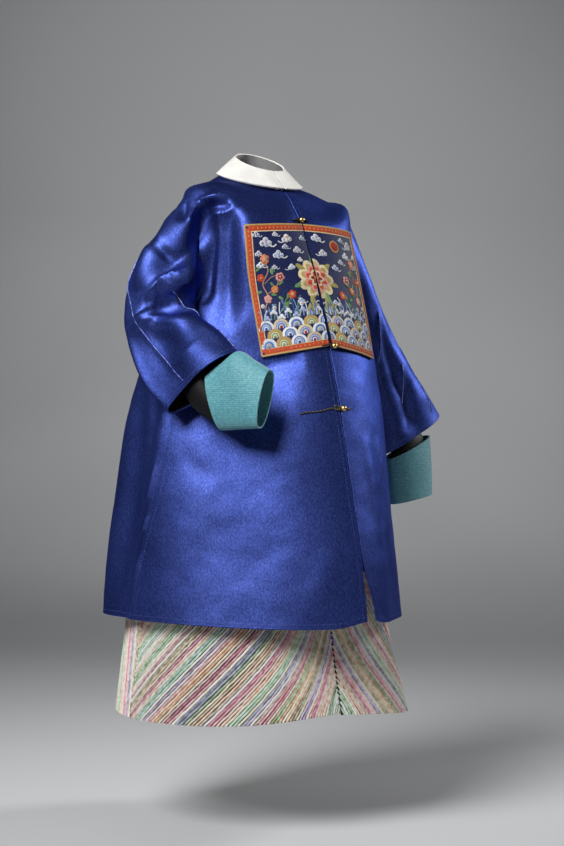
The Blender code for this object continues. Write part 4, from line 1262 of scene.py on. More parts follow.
print("a cord is", len(HALF_ROUND), "points across")

# %% [markdown]
# The cord's two strands wind round each other, so a slanted wave along its map makes the twist, both as a
# shadow and as a bump. Modelled strands would be far too many points for a hem of hundreds of cords.

# %% The cords of the striped hem
# two strands of floss silk twisted to a cord, laid side by side and caught down with a finer thread
couched = new_material("twisted_and_couched_silk_cord")
twist_map = add(couched, "UVMap", uv_map="twist")
slant = add(couched, "Mapping", {"Vector": twist_map, "Rotation": (0, 0, radians(-38))})
strands = add(couched, "TexWave", {"Vector": slant, "Scale": 1.0, "Distortion": 0.6, "Detail": 1.0})
thread = add(couched, "Attribute", attribute_name="thread")
shadow = add(couched, "ValToRGB", {"Fac": strands}, stops=((0.0, "#9d948b"), (0.3, "#ffffff")))
# each cord's dye, darkened by the painted shadow between its two strands
dyed = add(couched, "Mix", {"Factor": 1.0, "A": thread.outputs["Color"], "B": shadow},
           data_type="RGBA", blend_type="MULTIPLY")
fuzz = add(couched, "TexNoise", {"Vector": add(couched, "TexCoord").outputs["Object"], "Scale": 420,
                                 "Detail": 2.0})
wear = add(couched, "ValToRGB", {"Fac": fuzz}, stops=((0.36, "#6f665b"), (0.6, "#ffffff")))
# random wear laid over the dye and its painted strand shadow
worn = add(couched, "Mix", {"Factor": 0.8, "A": dyed, "B": wear}, data_type="RGBA", blend_type="SOFT_LIGHT")
add(couched, "Principled", {
    "Base Color": worn, "Roughness": 0.7, "Sheen Weight": 0.3,
    "Normal": add(couched, "Bump", {"Height": strands, "Strength": 0.6, "Distance": 0.0004})})

for side in ("right", "left"):
    stripe_cords(f"striped_hem_{side}", side, couched, 0 if side == "right" else 1)

# %% [markdown]
# The under-sleeves are plain black silk that shows only inside the mouths of the wide sleeves, so further
# up they are drawn in to a slim tube, out of the way of the folds. The cuffs are stiff, flared horse-hoof
# cuffs in turquoise silk with a corded weave.

# %% Under-sleeves and cuffs
HIDDEN_FROM, HIDDEN_TO = 0.74, 0.93  # the share of the way down over which the sleeve opens to full width
DRAWN_IN = 0.88  # how much of its width the hidden part loses
RIGHT_SHIFT = (4.3, 5.5, 0.0)  # the bent right sleeve runs deeper inside the coat's
ROBE_ARMPIT = {"right": (18.0, 1), "left": (0.0, 0)}
# a corded weave: fine warps over thick wefts, dyed turquoise and faded unevenly in wear
turquoise = new_material("ribbed_turquoise_silk")
there = add(turquoise, "TexCoord").outputs["Object"]
rib = add(turquoise, "TexWave", {"Vector": there, "Scale": 260, "Distortion": 1.2, "Detail": 1.0,
                                 "Detail Scale": 2.0}, bands_direction="Z")
fleck = add(turquoise, "TexNoise", {"Vector": there, "Scale": 780, "Detail": 1.0})
fade = add(turquoise, "TexNoise", {"Vector": there, "Scale": 26, "Detail": 1.0})
teal = add(turquoise, "ValToRGB", {"Fac": fleck}, stops=((0.3, "#4c8c96"), (0.52, "#5a99a3"), (0.72, "#6aa5ad")))
patchy = add(turquoise, "ValToRGB", {"Fac": fade}, stops=((0.35, "#3d5a60"), (0.65, "#d8e6e2")))
faded = add(turquoise, "Mix", {"Factor": 0.25, "A": teal, "B": patchy}, data_type="RGBA", blend_type="SOFT_LIGHT")
add(turquoise, "Principled", {
    "Base Color": faded, "Roughness": 0.6, "Sheen Weight": 0.2,
    "Normal": add(turquoise, "Bump", {"Height": rib, "Strength": 0.22, "Distance": 0.0003})})

undersleeves, cuffs = {}, {}
for side in ("right", "left"):
    is_right = side == "right"
    body = (ROBE[side], ROBE_FOLDS, ROBE_ARMHOLE, ROBE_SIDE_SEAM)
    sheet = sleeve_sheet(side, body, ROBE_SLEEVE[side], ROBE_SLEEVE_FOLDS[side], ROBE_ARMPIT[side], 40, 40)
    down = np.linspace(0, 1, len(sheet))[:, None, None]
    hidden = 1 - ease(HIDDEN_FROM, HIDDEN_TO, down)
    sheet = sheet + (sheet[:, :-1].mean(1)[:, None] - sheet) * DRAWN_IN * hidden
    if is_right:
        sheet = sheet + np.array(RIGHT_SHIFT) * hidden * ease(0.0, 0.25, down)
    cloth = make_object(f"undersleeve_{side}", sew([sheet], is_right), black_silk)
    undersleeves[side] = wall(cloth, WALL, lined=False)
    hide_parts(f"robe_sleeve_{side}")
    turns = np.linspace(0, 2 * pi, 49)
    rings = sleeve_rings(None, CUFF[side], turns, (CUFF_CREASE, CUFF_CREASE), 1 if is_right else -1)
    sheet = smooth(rings, np.linspace(0, len(rings) - 1, 22))
    sheet[:, -1] = sheet[:, 0]
    cloth = make_object(f"horse_hoof_cuff_{side}", sew([sheet], is_right), turquoise)
    cuffs[side] = wall(cloth, WALL, lined=False)
    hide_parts(f"cuff_{side}")
    print(cuffs[side].name, [round(v / MM) for v in cuffs[side].dimensions], "mm")

# %% [markdown]
# The collar is a stiff white cone, cut in two halves that meet at the front. Starched linen is matt and
# shows its plain weave; the top edge is turned and catches the light.

# %% The stiff collar
COLLAR_COLUMNS = ("radius", "height", "lean_degrees", "set_back", "back_drop")
COLLAR_RINGS = (
    (26.4, 3.2, 16.0, 2.5, 5.5),
    (22.8, 6.6, 19.0, 2.4, 3.6),
    (18.8, 10.4, 22.0, 2.2, 1.6),
    (15.2, 13.8, 25.5, 2.0, 0.0),
)
COLLAR_DROP_FROM = 118.0  # degrees round from the front; behind here the collar reaches lower
COLLAR_HALF_GAP_DEGREES = 1.6
COLLAR_WALL = 0.9

# tabby-woven linen, bleached, starched and ironed over a form, a little soiled where it is handled
linen = new_material("starched_white_linen")
cloth_place = add(linen, "TexCoord").outputs["Object"]
thread_noise = add(linen, "TexNoise", {"Vector": cloth_place, "Scale": 750, "Detail": 1.0})
soil = add(linen, "TexNoise", {"Vector": cloth_place, "Scale": 70, "Detail": 3.0})
linen_colour = add(linen, "ValToRGB", {"Fac": soil}, stops=((0.35, "#dcdad4"), (0.6, "#edebe6")))
add(linen, "Principled", {
    "Base Color": linen_colour, "Roughness": 0.75, "Sheen Weight": 0.08,
    "Normal": add(linen, "Bump", {"Height": thread_noise, "Strength": 0.35, "Distance": 0.0003})})

collar = {}
for side in ("right", "left"):
    sign = -1 if side == "right" else 1
    angles = np.linspace(COLLAR_HALF_GAP_DEGREES, 180 - COLLAR_HALF_GAP_DEGREES / 2, 60)
    turns = np.radians(angles)
    rings = []
    for row in smooth(COLLAR_RINGS, np.linspace(0, 3, 16)):
        ring = dict(zip(COLLAR_COLUMNS, row))
        lean = radians(ring["lean_degrees"])
        across, forward = ring["radius"] * np.sin(turns), -ring["radius"] * np.cos(turns)
        drop = ring["back_drop"] * ease(COLLAR_DROP_FROM, 180, angles)
        rings.append(np.stack([sign * across, forward * cos(lean) + ring["set_back"],
                               ring["height"] + forward * sin(lean) - drop], -1))
    cloth = make_object(f"stiff_collar_{side}", sew([np.array(rings)], side == "right"), linen)
    collar[side] = wall(cloth, COLLAR_WALL, lined=False)
    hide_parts(f"collar_{side}")
collar_top = max(vertex.co.z for vertex in collar["right"].data.vertices)
print("the collar stands", round(collar_top / MM, 1), "mm above the neck")

# %% [markdown]
# The rank badge is a square of silk embroidery, cut down the middle because the coat opens there. A badge
# has a framed field, clouds above, waves and foam below and one main figure between. This one keeps the
# frame, the dense filling and the colours, with ordinary motifs in a layout of its own: a peony in the
# middle, a sun over clouds, flowering branches at the sides, and reeds and rounded waves at the foot. Every
# motif is a low padded patch drawn flat on the badge's own square, cut at the opening and laid on the coat.

# %% The badge's surface
BADGE_WIDTH, BADGE_HEIGHT = 41.0, 72.0
BADGE_TOP, BADGE_TOP_FALL, BADGE_BOTTOM_FALL = -27.0, 2.0, 6.5
BADGE_THICKNESS, BADGE_EDGE_INSET = 1.0, 0.9
FRONT_ROWS = np.linspace(1.0, 9, 161)
FRONT_DEGREES = np.linspace(0, 75, 151)
ACROSS = np.linspace(0, 46, 93)
HEIGHTS = np.linspace(-12, -150, 277)
BELOW_LAST = 1.001  # keeps a reading inside the last cell of a table


def front_table(side):
    """The coat front read by distance from the centre and by height: points and outward directions."""
    sections = COAT[side]
    rows, degrees = FRONT_ROWS, FRONT_DEGREES
    sheet = body_point(sections, COAT_FOLDS, side, degrees[None, :], rows[:, None])
    length = np.concatenate([np.zeros((len(rows), 1)),
                             np.cumsum(np.linalg.norm(np.diff(sheet, axis=1), axis=2), 1)], 1)
    points = np.zeros((len(ACROSS), len(HEIGHTS), 3))
    for index, distance in enumerate(ACROSS):
        spot = np.array([np.interp(distance, line, degrees) for line in length])
        column = body_point(sections, COAT_FOLDS, side, spot, rows)
        row = np.interp(-HEIGHTS, -column[:, 2], rows)
        points[index] = body_point(sections, COAT_FOLDS, side, np.interp(row, rows, spot), row)
    outward = unit(np.cross(np.gradient(points, axis=0), np.gradient(points, axis=1)))
    return points, outward * np.where(outward[..., 1:2] > 0, -1, 1)


fronts = {side: front_table(side) for side in ("right", "left")}


def lay(side, distance, height, lift):
    """Points on the coat front, lifted off it."""
    points, outward = fronts[side]
    across = np.clip(np.asarray(distance, float) / ACROSS[1], 0, len(ACROSS) - BELOW_LAST)
    down = (HEIGHTS[0] - np.asarray(height, float)) / (HEIGHTS[0] - HEIGHTS[1])
    down = np.clip(down, 0, len(HEIGHTS) - BELOW_LAST)
    i, j = across.astype(int), down.astype(int)
    s, t = (across - i)[..., None], (down - j)[..., None]

    def blend(table):
        return ((table[i, j] * (1 - s) + table[i + 1, j] * s) * (1 - t)
                + (table[i, j + 1] * (1 - s) + table[i + 1, j + 1] * s) * t)

    return blend(points) + blend(outward) * np.asarray(lift, float)[..., None]


def badge_height(across, down):
    """The height of a point of the badge, from how far across and how far down its square it is."""
    out = np.clip((np.abs(across) - BADGE_EDGE_INSET) / (BADGE_WIDTH - BADGE_EDGE_INSET), 0, 1)
    top = BADGE_TOP - BADGE_TOP_FALL * out
    return top - (BADGE_HEIGHT + (BADGE_BOTTOM_FALL - BADGE_TOP_FALL) * out) * np.asarray(down) / BADGE_HEIGHT


print("the badge is", 2 * BADGE_WIDTH, "mm wide and", BADGE_HEIGHT, "mm tall")

# %% [markdown]
# A patch of satin stitch is a low cushion: its outline stands close to the ground and its middle is
# raised. Each patch is a fan from its own middle, keeps its thread's colour on its points, and its map
# turns with the stitches, so one material shows the threads of them all.

# %% Patches of stitching
SILKS = {
    "gold": "#c9a468", "vermilion": "#cf4f2c", "brick": "#b23a28", "cloud": "#aebfdf", "white": "#e6e8ee",
    "pink": "#e0a29a", "orange": "#e08850", "leaf": "#6d9a62", "moss": "#a9a15c", "sky": "#7f9fd0",
    "blue": "#3f5fa6", "cream": "#e3d5ab", "crimson": "#a02632", "lilac": "#9a8fc0", "bark": "#b58f7e",
}
PATCH_BASE = 0.05  # a patch's foot stands this far off the ground
CUSHION = 0.7  # how much of a patch is its raised middle
RIM_SHARE, TOP_SHARE = 0.35, 1.08  # how high the rim and the very middle stand, as shares of the lift
SILK_UNEVEN = 0.08  # no two hanks have quite the same shade
patches = bmesh.new()
patch_colour = patches.verts.layers.float_color.new("thread")
patch_map = patches.loops.layers.uv.new("stitch")


def patch(outline, silk, lift=0.35, direction=0.0, middle=None):
    """One padded patch from an outline of (across, down) points on the badge's square."""
    outline = np.asarray(outline, float)
    centre = outline.mean(0) if middle is None else np.asarray(middle, float)
    inner = centre + (outline - centre) * CUSHION
    rim = [patches.verts.new((*p, PATCH_BASE + RIM_SHARE * lift)) for p in outline]
    raised = [patches.verts.new((*p, PATCH_BASE + lift)) for p in inner]
    top = patches.verts.new((*centre, PATCH_BASE + TOP_SHARE * lift))
    colour = np.array(linear(SILKS[silk]))
    colour[:3] = np.clip(colour[:3] * (1 + SILK_UNEVEN * rng.standard_normal()), 0, 1)
    for vertex in (*rim, *raised, top):
        vertex[patch_colour] = colour
    count = len(rim)
    made = []
    for i in range(count):
        j = (i + 1) % count
        made.append(patches.faces.new((rim[i], rim[j], raised[j], raised[i])))
        made.append(patches.faces.new((raised[i], raised[j], top)))
    turn = np.array([[cos(direction), sin(direction)], [-sin(direction), cos(direction)]])
    for face in made:
        face.smooth = True
        for loop in face.loops:
            loop[patch_map].uv = turn @ np.array(loop.vert.co[:2])


print("embroidery silks:", ", ".join(SILKS))

# %% [markdown]
# All the motifs come from three plain forms. A circle makes berries and hearts, a petal is half a sine
# wave on both sides of its line, and a stem is a narrow raised band, as a row of stem stitch would be.

# %% Circles, petals and stems
def circle(across, down, radius, count):
    """A round outline with that many points."""
    turns = np.linspace(0, 2 * pi, count, endpoint=False)
    return np.stack([across + radius * np.cos(turns), down + radius * np.sin(turns)], -1)


def petal(across, down, length, width, angle, count):
    """A petal or leaf from its root, pointing along an angle."""
    t = np.linspace(0, pi, count)
    along, aside = length * (1 - np.cos(t)) / 2, width / 2 * np.sin(t) ** 0.8
    line = np.concatenate([np.stack([along, aside], -1), np.stack([along, -aside], -1)[-2:0:-1]])
    turn = np.array([[cos(angle), sin(angle)], [-sin(angle), cos(angle)]])
    return line @ turn + (across, down)


def stitched_line(points, width, silk, lift=0.3):
    """A stem or an outline: a narrow raised band along a smooth line."""
    points = np.asarray(points, float)
    line = smooth(points, np.linspace(0, len(points) - 1, 4 * len(points) - 3))
    ahead = unit(np.gradient(line, axis=0))
    aside = np.stack([-ahead[:, 1], ahead[:, 0]], -1) * width / 2
    colour = linear(SILKS[silk])
    rows = []
    for spot, off in zip(line, aside):
        row = [patches.verts.new((*(spot - off), PATCH_BASE)), patches.verts.new((*spot, PATCH_BASE + lift)),
               patches.verts.new((*(spot + off), PATCH_BASE))]
        for vertex in row:
            vertex[patch_colour] = colour
        rows.append(row)
    for row, following in zip(rows, rows[1:]):
        for k in range(2):
            face = patches.faces.new((row[k], row[k + 1], following[k + 1], following[k]))
            face.smooth = True
            for loop in face.loops:
                loop[patch_map].uv = loop.vert.co[:2]


print("a petal's outline has", len(petal(0, 0, 1, 1, 0, 8)), "points")

# %% [markdown]
# A blossom is padded petals round a heart. A cloud is a few round lobes with pale rims, darker hearts on
# them and a trailing tail. Both come back in many places and silks, so each is made by a function.

# %% Blossoms and clouds
def flower(across, down, radius, silk, second, start):
    """A blossom of five petals, perhaps with a second silk on them, round a cream heart."""
    for k in range(5):
        angle = start + 2 * pi * k / 5
        patch(petal(across, down, radius, radius * 0.95, angle, 8), silk, 0.4, angle)
        if second:
            patch(petal(across, down, radius * 0.66, radius * 0.55, angle, 7), second, 0.55, angle)
    patch(circle(across, down, radius * 0.26, 8), "cream", 0.75)


# places and radii, as shares of a cloud's size
CLOUD_LOBES = ((-0.9, 0.1, 0.62), (0.9, 0.15, 0.58), (0, -0.45, 0.75), (0.1, 0.35, 0.6))
CLOUD_HEARTS = ((-0.9, 0.1, 0.25), (0, -0.45, 0.33), (0.9, 0.15, 0.22))
CLOUD_TAIL = ((0.7, 0.6), (1.7, 0.9), (2.5, 0.5))


def cloud(across, down, size, turn, fill, heart):
    """A curled cloud: lobes with pale rims, a heart of another colour and a trailing tail."""
    for dx, dy, r in CLOUD_LOBES:
        centre = (across + dx * size * turn, down + dy * size)
        patch(circle(*centre, r * size, 12), "white", 0.25, 0.3)
        patch(circle(*centre, r * size * 0.72, 10), fill, 0.4, 0.9)
    for dx, dy, r in CLOUD_HEARTS:
        patch(circle(across + dx * size * turn, down + dy * size, r * size, 8), heart, 0.52, 1.2)
    tail = [(across + x * size * turn, down + y * size) for x, y in CLOUD_TAIL]
    stitched_line(tail, 0.32 * size, "white")


print("a cloud has", len(CLOUD_LOBES), "lobes and", len(CLOUD_HEARTS), "hearts")

# %% [markdown]
# The field is filled from the ground up. At the foot stand tufts of reed, three rows of rounded waves in
# bands of colour, a line of foam, and four small rocks.

# %% Reeds, waves, foam and rocks
REED_SILKS = ("sky", "white", "leaf", "blue", "cloud")
WAVE_SILKS = (
    ("white", "blue", "cloud", "sky", "white", "blue"),
    ("gold", "moss", "cream", "leaf", "white", "moss"),
    ("white", "sky", "blue", "cloud", "gold", "sky"),
    ("cream", "lilac", "cloud", "blue", "white", "brick"),
)
WAVE_RADII = (4.7, 4.0, 3.3, 2.6, 1.8, 1.1)
WAVE_ROWS = ((57.5, 0.0), (62.3, 4.4), (67.2, 0.0))  # how far down, and how far along the row starts
FOAM = ((-1.1, 0.4, 0.95), (0.5, -0.4, 1.15), (1.7, 0.8, 0.8))
ROCKS = ((-7.5, 7.5), (-4.5, 11.5), (4.2, 12.5), (7.6, 8.5))  # how far across, and how tall
ROCK_LAYERS = (("moss", 1.0, 1.0, 0.4), ("blue", 0.6, 0.75, 0.55), ("cloud", 0.3, 0.5, 0.7))
ROCK_FOOT = 53.5
for across in np.arange(-37, 38, 1.9):
    tall = 5.5 + 8.0 * abs(sin(1.7 * across)) * ease(6, 16, abs(across))
    stitched_line([(across, 53), (across + 0.7 * sin(across), 53 - 0.5 * tall),
                   (across + 2.0 * sin(2.1 * across), 53 - tall)], 0.6, REED_SILKS[int(across + 37) % 5], 0.24)
for row, (down, shift) in enumerate(WAVE_ROWS):
    for number, across in enumerate(np.arange(-35.2 + shift, 36, 8.8)):
        for place, (silk, radius) in enumerate(zip(WAVE_SILKS[(number * 3 + row) % 4], WAVE_RADII)):
            arc = circle(across, down, radius, 18)
            arc[:, 1] = np.minimum(arc[:, 1], down + 0.8)
            patch(arc, silk, 0.22 + 0.07 * place + 0.05 * row, 0.4 * place, middle=(across, down - 0.25 * radius))
for across in np.arange(-34, 35, 4.3):
    crest = 50.5 + 1.6 * np.sin(across * 0.7)
    for dx, dy, r in FOAM:
        patch(circle(across + dx, crest + dy, r, 9), "white" if (int(across) % 2) else "cloud", 0.42, 0.4)
    stitched_line([(across - 1.8, crest + 2.4), (across - 0.2, crest - 1.8), (across + 1.4, crest - 4.2),
                   (across + 2.7, crest - 3.8)], 0.55, "sky" if int(across) % 3 else "white", 0.32)
for across, height in ROCKS:
    peak = [(across - 2.3, ROCK_FOOT), (across - 1.7, ROCK_FOOT - height * 0.6), (across, ROCK_FOOT - height),
            (across + 1.6, ROCK_FOOT - height * 0.55), (across + 2.3, ROCK_FOOT)]
    for silk, wide, tall, lift in ROCK_LAYERS:
        layer = [((x - across) * wide + across, (y - ROCK_FOOT) * tall + ROCK_FOOT) for x, y in peak]
        patch(layer, silk, lift, 1.3)
print("points after the waves and rocks:", len(patches.verts))

# %% [markdown]
# Flowering branches stand at both sides. They are drawn once and mirrored, as an embroiderer's pounced
# pattern is turned over, but the stitches and the shades still differ.

# %% Branches, blossoms and leaves
BRANCHES = (
    (((34, 47), (31, 40), (33, 33), (29, 26), (31, 20)), 0.75, "bark"),
    (((31.5, 39), (26, 36), (23, 31)), 0.6, "bark"),
    (((32, 33), (27, 29.5), (21, 29)), 0.5, "bark"),
    (((24, 49), (21, 43), (17, 41)), 0.6, "leaf"),
)
BLOSSOMS = (
    (30.5, 19.5, 2.9, "orange", "pink"), (22.5, 30, 2.7, "pink", "crimson"), (33.8, 29.5, 2.3, "vermilion", None),
    (26.4, 36.6, 2.2, "orange", None), (16.8, 40.4, 2.6, "vermilion", "orange"), (31.2, 41.5, 2.4, "pink", None),
)
LEAVES = (
    (28, 25, 2.6), (33.5, 24, 0.5), (28.5, 32.5, 2.2), (24, 34.3, 3.6), (34, 37, 0.2), (29, 39, 2.9),
    (22, 45.5, 3.5), (20, 42.5, -1.9), (19.4, 45, 0.6), (26.5, 28.4, -1.2), (25, 40.8, 2.5),
)
BUDS = ((12.5, 46.2), (28.4, 46.6), (35, 45))
for mirror in (-1, 1):
    for points, width, silk in BRANCHES:
        stitched_line([(across * mirror, down) for across, down in points], width, silk)
    for across, down, radius, silk, second in BLOSSOMS:
        lean = 3.0 if mirror > 0 and down < 31 else 0.0
        flower(across * mirror, down + lean * 0.3, radius, silk, second, 0.3 * down)
    for across, down, angle in LEAVES:
        patch(petal(across * mirror, down, 3.3, 1.5, angle if mirror > 0 else pi - angle, 7), "leaf", 0.36, angle)
    for across, down in BUDS:
        patch(circle(across * mirror, down, 1.2, 9), "white", 0.4)
        patch(circle(across * mirror, down, 0.65, 8), "pink", 0.55)
print("points after the branches:", len(patches.verts))

# %% [markdown]
# Clouds of many sizes fill the sky, with the sun among them. The peony in the middle is built from its
# leaves inwards, each ring of petals standing higher than the last.

# %% Clouds, sun and peony
# how far across and down, how large, which way the tail goes, and the two silks
CLOUDS = (
    (-29, 10.5, 2.6, 1, "cloud", "pink"), (-15.5, 8.8, 2.3, -1, "white", "orange"),
    (-22, 17.6, 2.2, 1, "sky", "white"), (-9.5, 15.5, 1.9, 1, "cloud", "pink"),
    (31, 10.0, 2.3, -1, "cloud", "orange"), (6.8, 8.0, 2.2, 1, "cloud", "pink"),
    (26.5, 16.4, 2.0, 1, "white", "sky"), (9.0, 16.6, 1.9, -1, "cloud", "orange"),
    (-33.2, 22.6, 1.7, 1, "white", "sky"), (34.2, 22.0, 1.3, -1, "cloud", "pink"),
    (-14.8, 25, 1.6, -1, "cloud", "white"), (15.6, 24.4, 1.7, 1, "sky", "white"),
    (-34.5, 5.9, 1.5, 1, "sky", "orange"), (-4.2, 8.6, 1.5, 1, "cloud", "sky"),
    (21.0, 20.5, 1.5, 1, "cloud", "pink"), (-22.5, 6.2, 1.3, 1, "cloud", "orange"),
    (-34.0, 16.4, 1.5, 1, "cloud", "pink"), (25.0, 7.4, 1.5, 1, "sky", "white"),
    (-17.2, 13.4, 1.4, 1, "sky", "pink"), (35.2, 15.8, 1.4, -1, "white", "sky"),
    (-8.6, 21.2, 1.3, 1, "white", "orange"), (-12.2, 44.6, 1.5, 1, "cloud", "sky"),
    (10.2, 45.4, 1.4, -1, "cloud", "sky"), (-25.0, 24.4, 1.2, 1, "cloud", "pink"),
)
SUN = (18.4, 11.6)
PEONY = (0, 32.5)
# how many petals, how long and wide, the silk, how far it stands up, and where the ring starts
PEONY_RINGS = (
    (9, 12.0, 7.4, "cream", 0.45, 0.0), (9, 11.2, 5.2, "gold", 0.55, 0.0), (8, 9.0, 6.4, "pink", 0.68, 0.35),
    (8, 8.0, 4.0, "vermilion", 0.8, 0.35), (6, 5.8, 4.6, "cream", 0.92, 0.1), (6, 4.6, 2.8, "crimson", 1.02, 0.1),
)
for one in CLOUDS:
    cloud(*one)
patch(circle(*SUN, 3.5, 20), "gold", 0.3)
patch(circle(*SUN, 2.9, 18), "brick", 0.55)
for k in range(7):
    angle = 0.2 + 2 * pi * k / 7
    patch(petal(*PEONY, 15.2, 3.4, angle, 9), "leaf" if k % 2 else "moss", 0.3, angle)
for count, length, width, silk, lift, start in PEONY_RINGS:
    for k in range(count):
        angle = start + 2 * pi * k / count
        patch(petal(*PEONY, length, width, angle, 9), silk, lift, angle)
patch(circle(*PEONY, 1.9, 12), "gold", 1.25)
print("points after the clouds and the peony:", len(patches.verts))

# %% [markdown]
# The frame is worked last: a gold edge, a vermilion band with small flecks, and a pale line inside it.

# %% The badge's frame
FRAME_LINES = ((0.55, 1.1, "gold", 0.42), (2.4, 2.9, "vermilion", 0.25), (4.1, 0.6, "cream", 0.32))
FLECK_INSET, FLECK_RADIUS, FLECK_STEP = 2.4, 0.55, 2.6
for mirror in (-1, 1):
    for inset, width, silk, lift in FRAME_LINES:
        out, foot = BADGE_WIDTH - inset, BADGE_HEIGHT - inset
        stitched_line([(mirror * out, d) for d in np.linspace(inset, foot, 14)], width, silk, lift)
        for level in (inset, foot):
            stitched_line([(mirror * a, level) for a in np.linspace(0, out, 9)], width, silk, lift)
    flecks = [(BADGE_WIDTH - FLECK_INSET, down, down) for down in np.arange(4, BADGE_HEIGHT - 3, FLECK_STEP)]
    flecks += [(across, level, across) for across in np.arange(1.8, BADGE_WIDTH - 3, FLECK_STEP)
               for level in (FLECK_INSET, BADGE_HEIGHT - FLECK_INSET)]
    for across, down, count in flecks:
        patch(circle(mirror * across, down, FLECK_RADIUS, 6), "orange" if int(count) % 2 else "gold", 0.42)
print("stitched points:", len(patches.verts))

# %% [markdown]
# Silk embroidery is glossy along each stitch and dull across it. The map of each patch gives fine threads,
# about as coarse as they are on a badge of this size, and the colour comes from the patch, with painted
# shade where each thread turns down into the groove beside the next.

# %% Embroidery silk, and the badge laid on the coat
# untwisted floss silk laid in long parallel stitches over a padding thread
embroidery = new_material("satin_stitch_silk_embroidery")
stitch_map = add(embroidery, "UVMap", uv_map="stitch")
stitches = add(embroidery, "TexWave", {"Vector": stitch_map, "Scale": 0.62, "Distortion": 0.5, "Detail": 1.0},
               bands_direction="Y")
silk_colour = add(embroidery, "Attribute", attribute_name="thread")
# painted shade: the stitch wave darkens the silk colour in the grooves between the threads
painted_stitch_shade = add(embroidery, "ValToRGB", {"Fac": stitches}, stops=((0.0, "#a7a39b"), (0.5, "#ffffff")))
stitched = add(embroidery, "Mix", {"Factor": 1.0, "A": silk_colour.outputs["Color"], "B": painted_stitch_shade},
               data_type="RGBA", blend_type="MULTIPLY")
add(embroidery, "Principled", {
    "Base Color": stitched, "Roughness": 0.62, "Specular IOR Level": 0.25,
    "Normal": add(embroidery, "Bump", {"Height": stitches, "Strength": 0.5, "Distance": 0.0003})})

badge, badge_ground = {}, {}
for side in ("right", "left"):
    sign = -1 if side == "right" else 1
    across = np.linspace(BADGE_EDGE_INSET, BADGE_WIDTH, 36)[None, :]
    down = np.linspace(0, BADGE_HEIGHT, 60)[:, None]
    across, down = np.broadcast_arrays(across, down)
    sheet = lay(side, across, badge_height(across, down), LAID_GAP + BADGE_THICKNESS + 0 * across)
    cloth = make_object(f"badge_ground_{side}", sew([sheet], side == "left"), navy_silk)
    badge_ground[side] = wall(cloth, BADGE_THICKNESS, lined=False)
    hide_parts(f"badge_{side}")
    half = patches.copy()
    geometry = list(half.verts) + list(half.edges) + list(half.faces)
    bmesh.ops.bisect_plane(half, geom=geometry, plane_co=(sign * (BADGE_EDGE_INSET + 0.05), 0, 0),
                           plane_no=(-sign, 0, 0), clear_outer=True)
    flat = np.array([vertex.co for vertex in half.verts])
    out = np.clip(np.abs(flat[:, 0]), BADGE_EDGE_INSET, BADGE_WIDTH)
    laid = lay(side, out, badge_height(out, np.clip(flat[:, 1], 0, BADGE_HEIGHT)),
               LAID_GAP + BADGE_THICKNESS + flat[:, 2])
    for vertex, spot in zip(half.verts, laid):
        vertex.co = Vector(spot * MM)
    half.normal_update()
    outward = Vector(fronts[side][1][20, 80])
    bmesh.ops.reverse_faces(half, faces=[face for face in half.faces if face.normal.dot(outward) < 0])
    badge[side] = make_object(f"badge_embroidery_{side}", half, embroidery)
    print(side, "badge triangles:", sum(len(p.vertices) - 2 for p in badge[side].data.polygons))

# %% [markdown]
# Gilt ball buttons close the coat. The ball is fluted like a small melon, with a ring for a shank at its
# back. One button is modelled and copied to its places.

# %% Buttons
BUTTON_RADIUS = 1.7
FLUTES, FLUTE_DEPTH = 4, 0.045  # each wave of the cosine makes two flutes
SHANK_RADIUS, SHANK_WIRE, SHANK_BACK = 0.75, 0.28, 1.5
# cast brass, fire-gilt and worn bright on the high places
gilt = new_material("gilt_brass")
polish = add(gilt, "TexNoise", {"Vector": add(gilt, "TexCoord").outputs["Object"], "Scale": 500, "Detail": 2.0})
add(gilt, "Principled", {
    "Base Color": add(gilt, "ValToRGB", {"Fac": polish}, stops=((0.3, "#c99a45"), (0.7, "#efd088"))),
    "Metallic": 1.0, "Roughness": add(gilt, "MapRange", {"Value": polish, "To Min": 0.2, "To Max": 0.42})})

bpy.ops.object.select_all(action="DESELECT")
bpy.ops.mesh.primitive_uv_sphere_add(segments=24, ring_count=14, radius=BUTTON_RADIUS * MM)
ball = bpy.context.object
for vertex in ball.data.vertices:
    around = np.arctan2(vertex.co.z, vertex.co.x)
    height = vertex.co.y / (BUTTON_RADIUS * MM)
    vertex.co *= 1 + FLUTE_DEPTH * abs(cos(FLUTES * around)) * (1 - height ** 2)
bpy.ops.mesh.primitive_torus_add(major_segments=16, minor_segments=8, major_radius=SHANK_RADIUS * MM,
                                 minor_radius=SHANK_WIRE * MM, location=(0, SHANK_BACK * MM, 0),
                                 rotation=(radians(90), 0, 0))
ball.select_set(True)
bpy.context.view_layer.objects.active = ball
bpy.ops.object.join()
bpy.ops.object.transform_apply(location=True, rotation=True, scale=True)
buttons = {}
for number in (1, 2, 3):
    low, high = (Vector(corner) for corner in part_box(f"button_{number}"))
    copy = bpy.data.objects.new(f"gilt_button_{number}", ball.data.copy())
    copy.data.transform(Matrix.Translation((low + high) / 2))
    copy.data.materials.clear()
    copy.data.materials.append(gilt)
    copy.data.shade_smooth()
    scene.collection.objects.link(copy)
    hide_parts(f"button_{number}")
    buttons[number] = copy
bpy.data.objects.remove(ball)
print("buttons:", [b.name for b in buttons.values()])

# %% [markdown]
# A cord or a turned edge is a tube along a line. The frame that places its rings is carried from one to
# the next, because a frame that is worked out afresh for each ring would spin where the line bends.

# %% Tubes
def tube_rings(line, radius, sides):
    """Rings of points round a line, with the frame carried along it so that it doesn't spin."""
    ahead = unit(np.gradient(line, axis=0))
    aside = np.cross(ahead[0], (0.3, 0.2, 1.0))
    turns = np.linspace(0, 2 * pi, sides, endpoint=False)
    rings = []
    for spot, direction in zip(line, ahead):
        aside = unit(aside - direction * (aside @ direction))
        above = np.cross(direction, aside)
        rings.append(spot + radius * (np.cos(turns)[:, None] * aside + np.sin(turns)[:, None] * above))
    return np.array(rings)


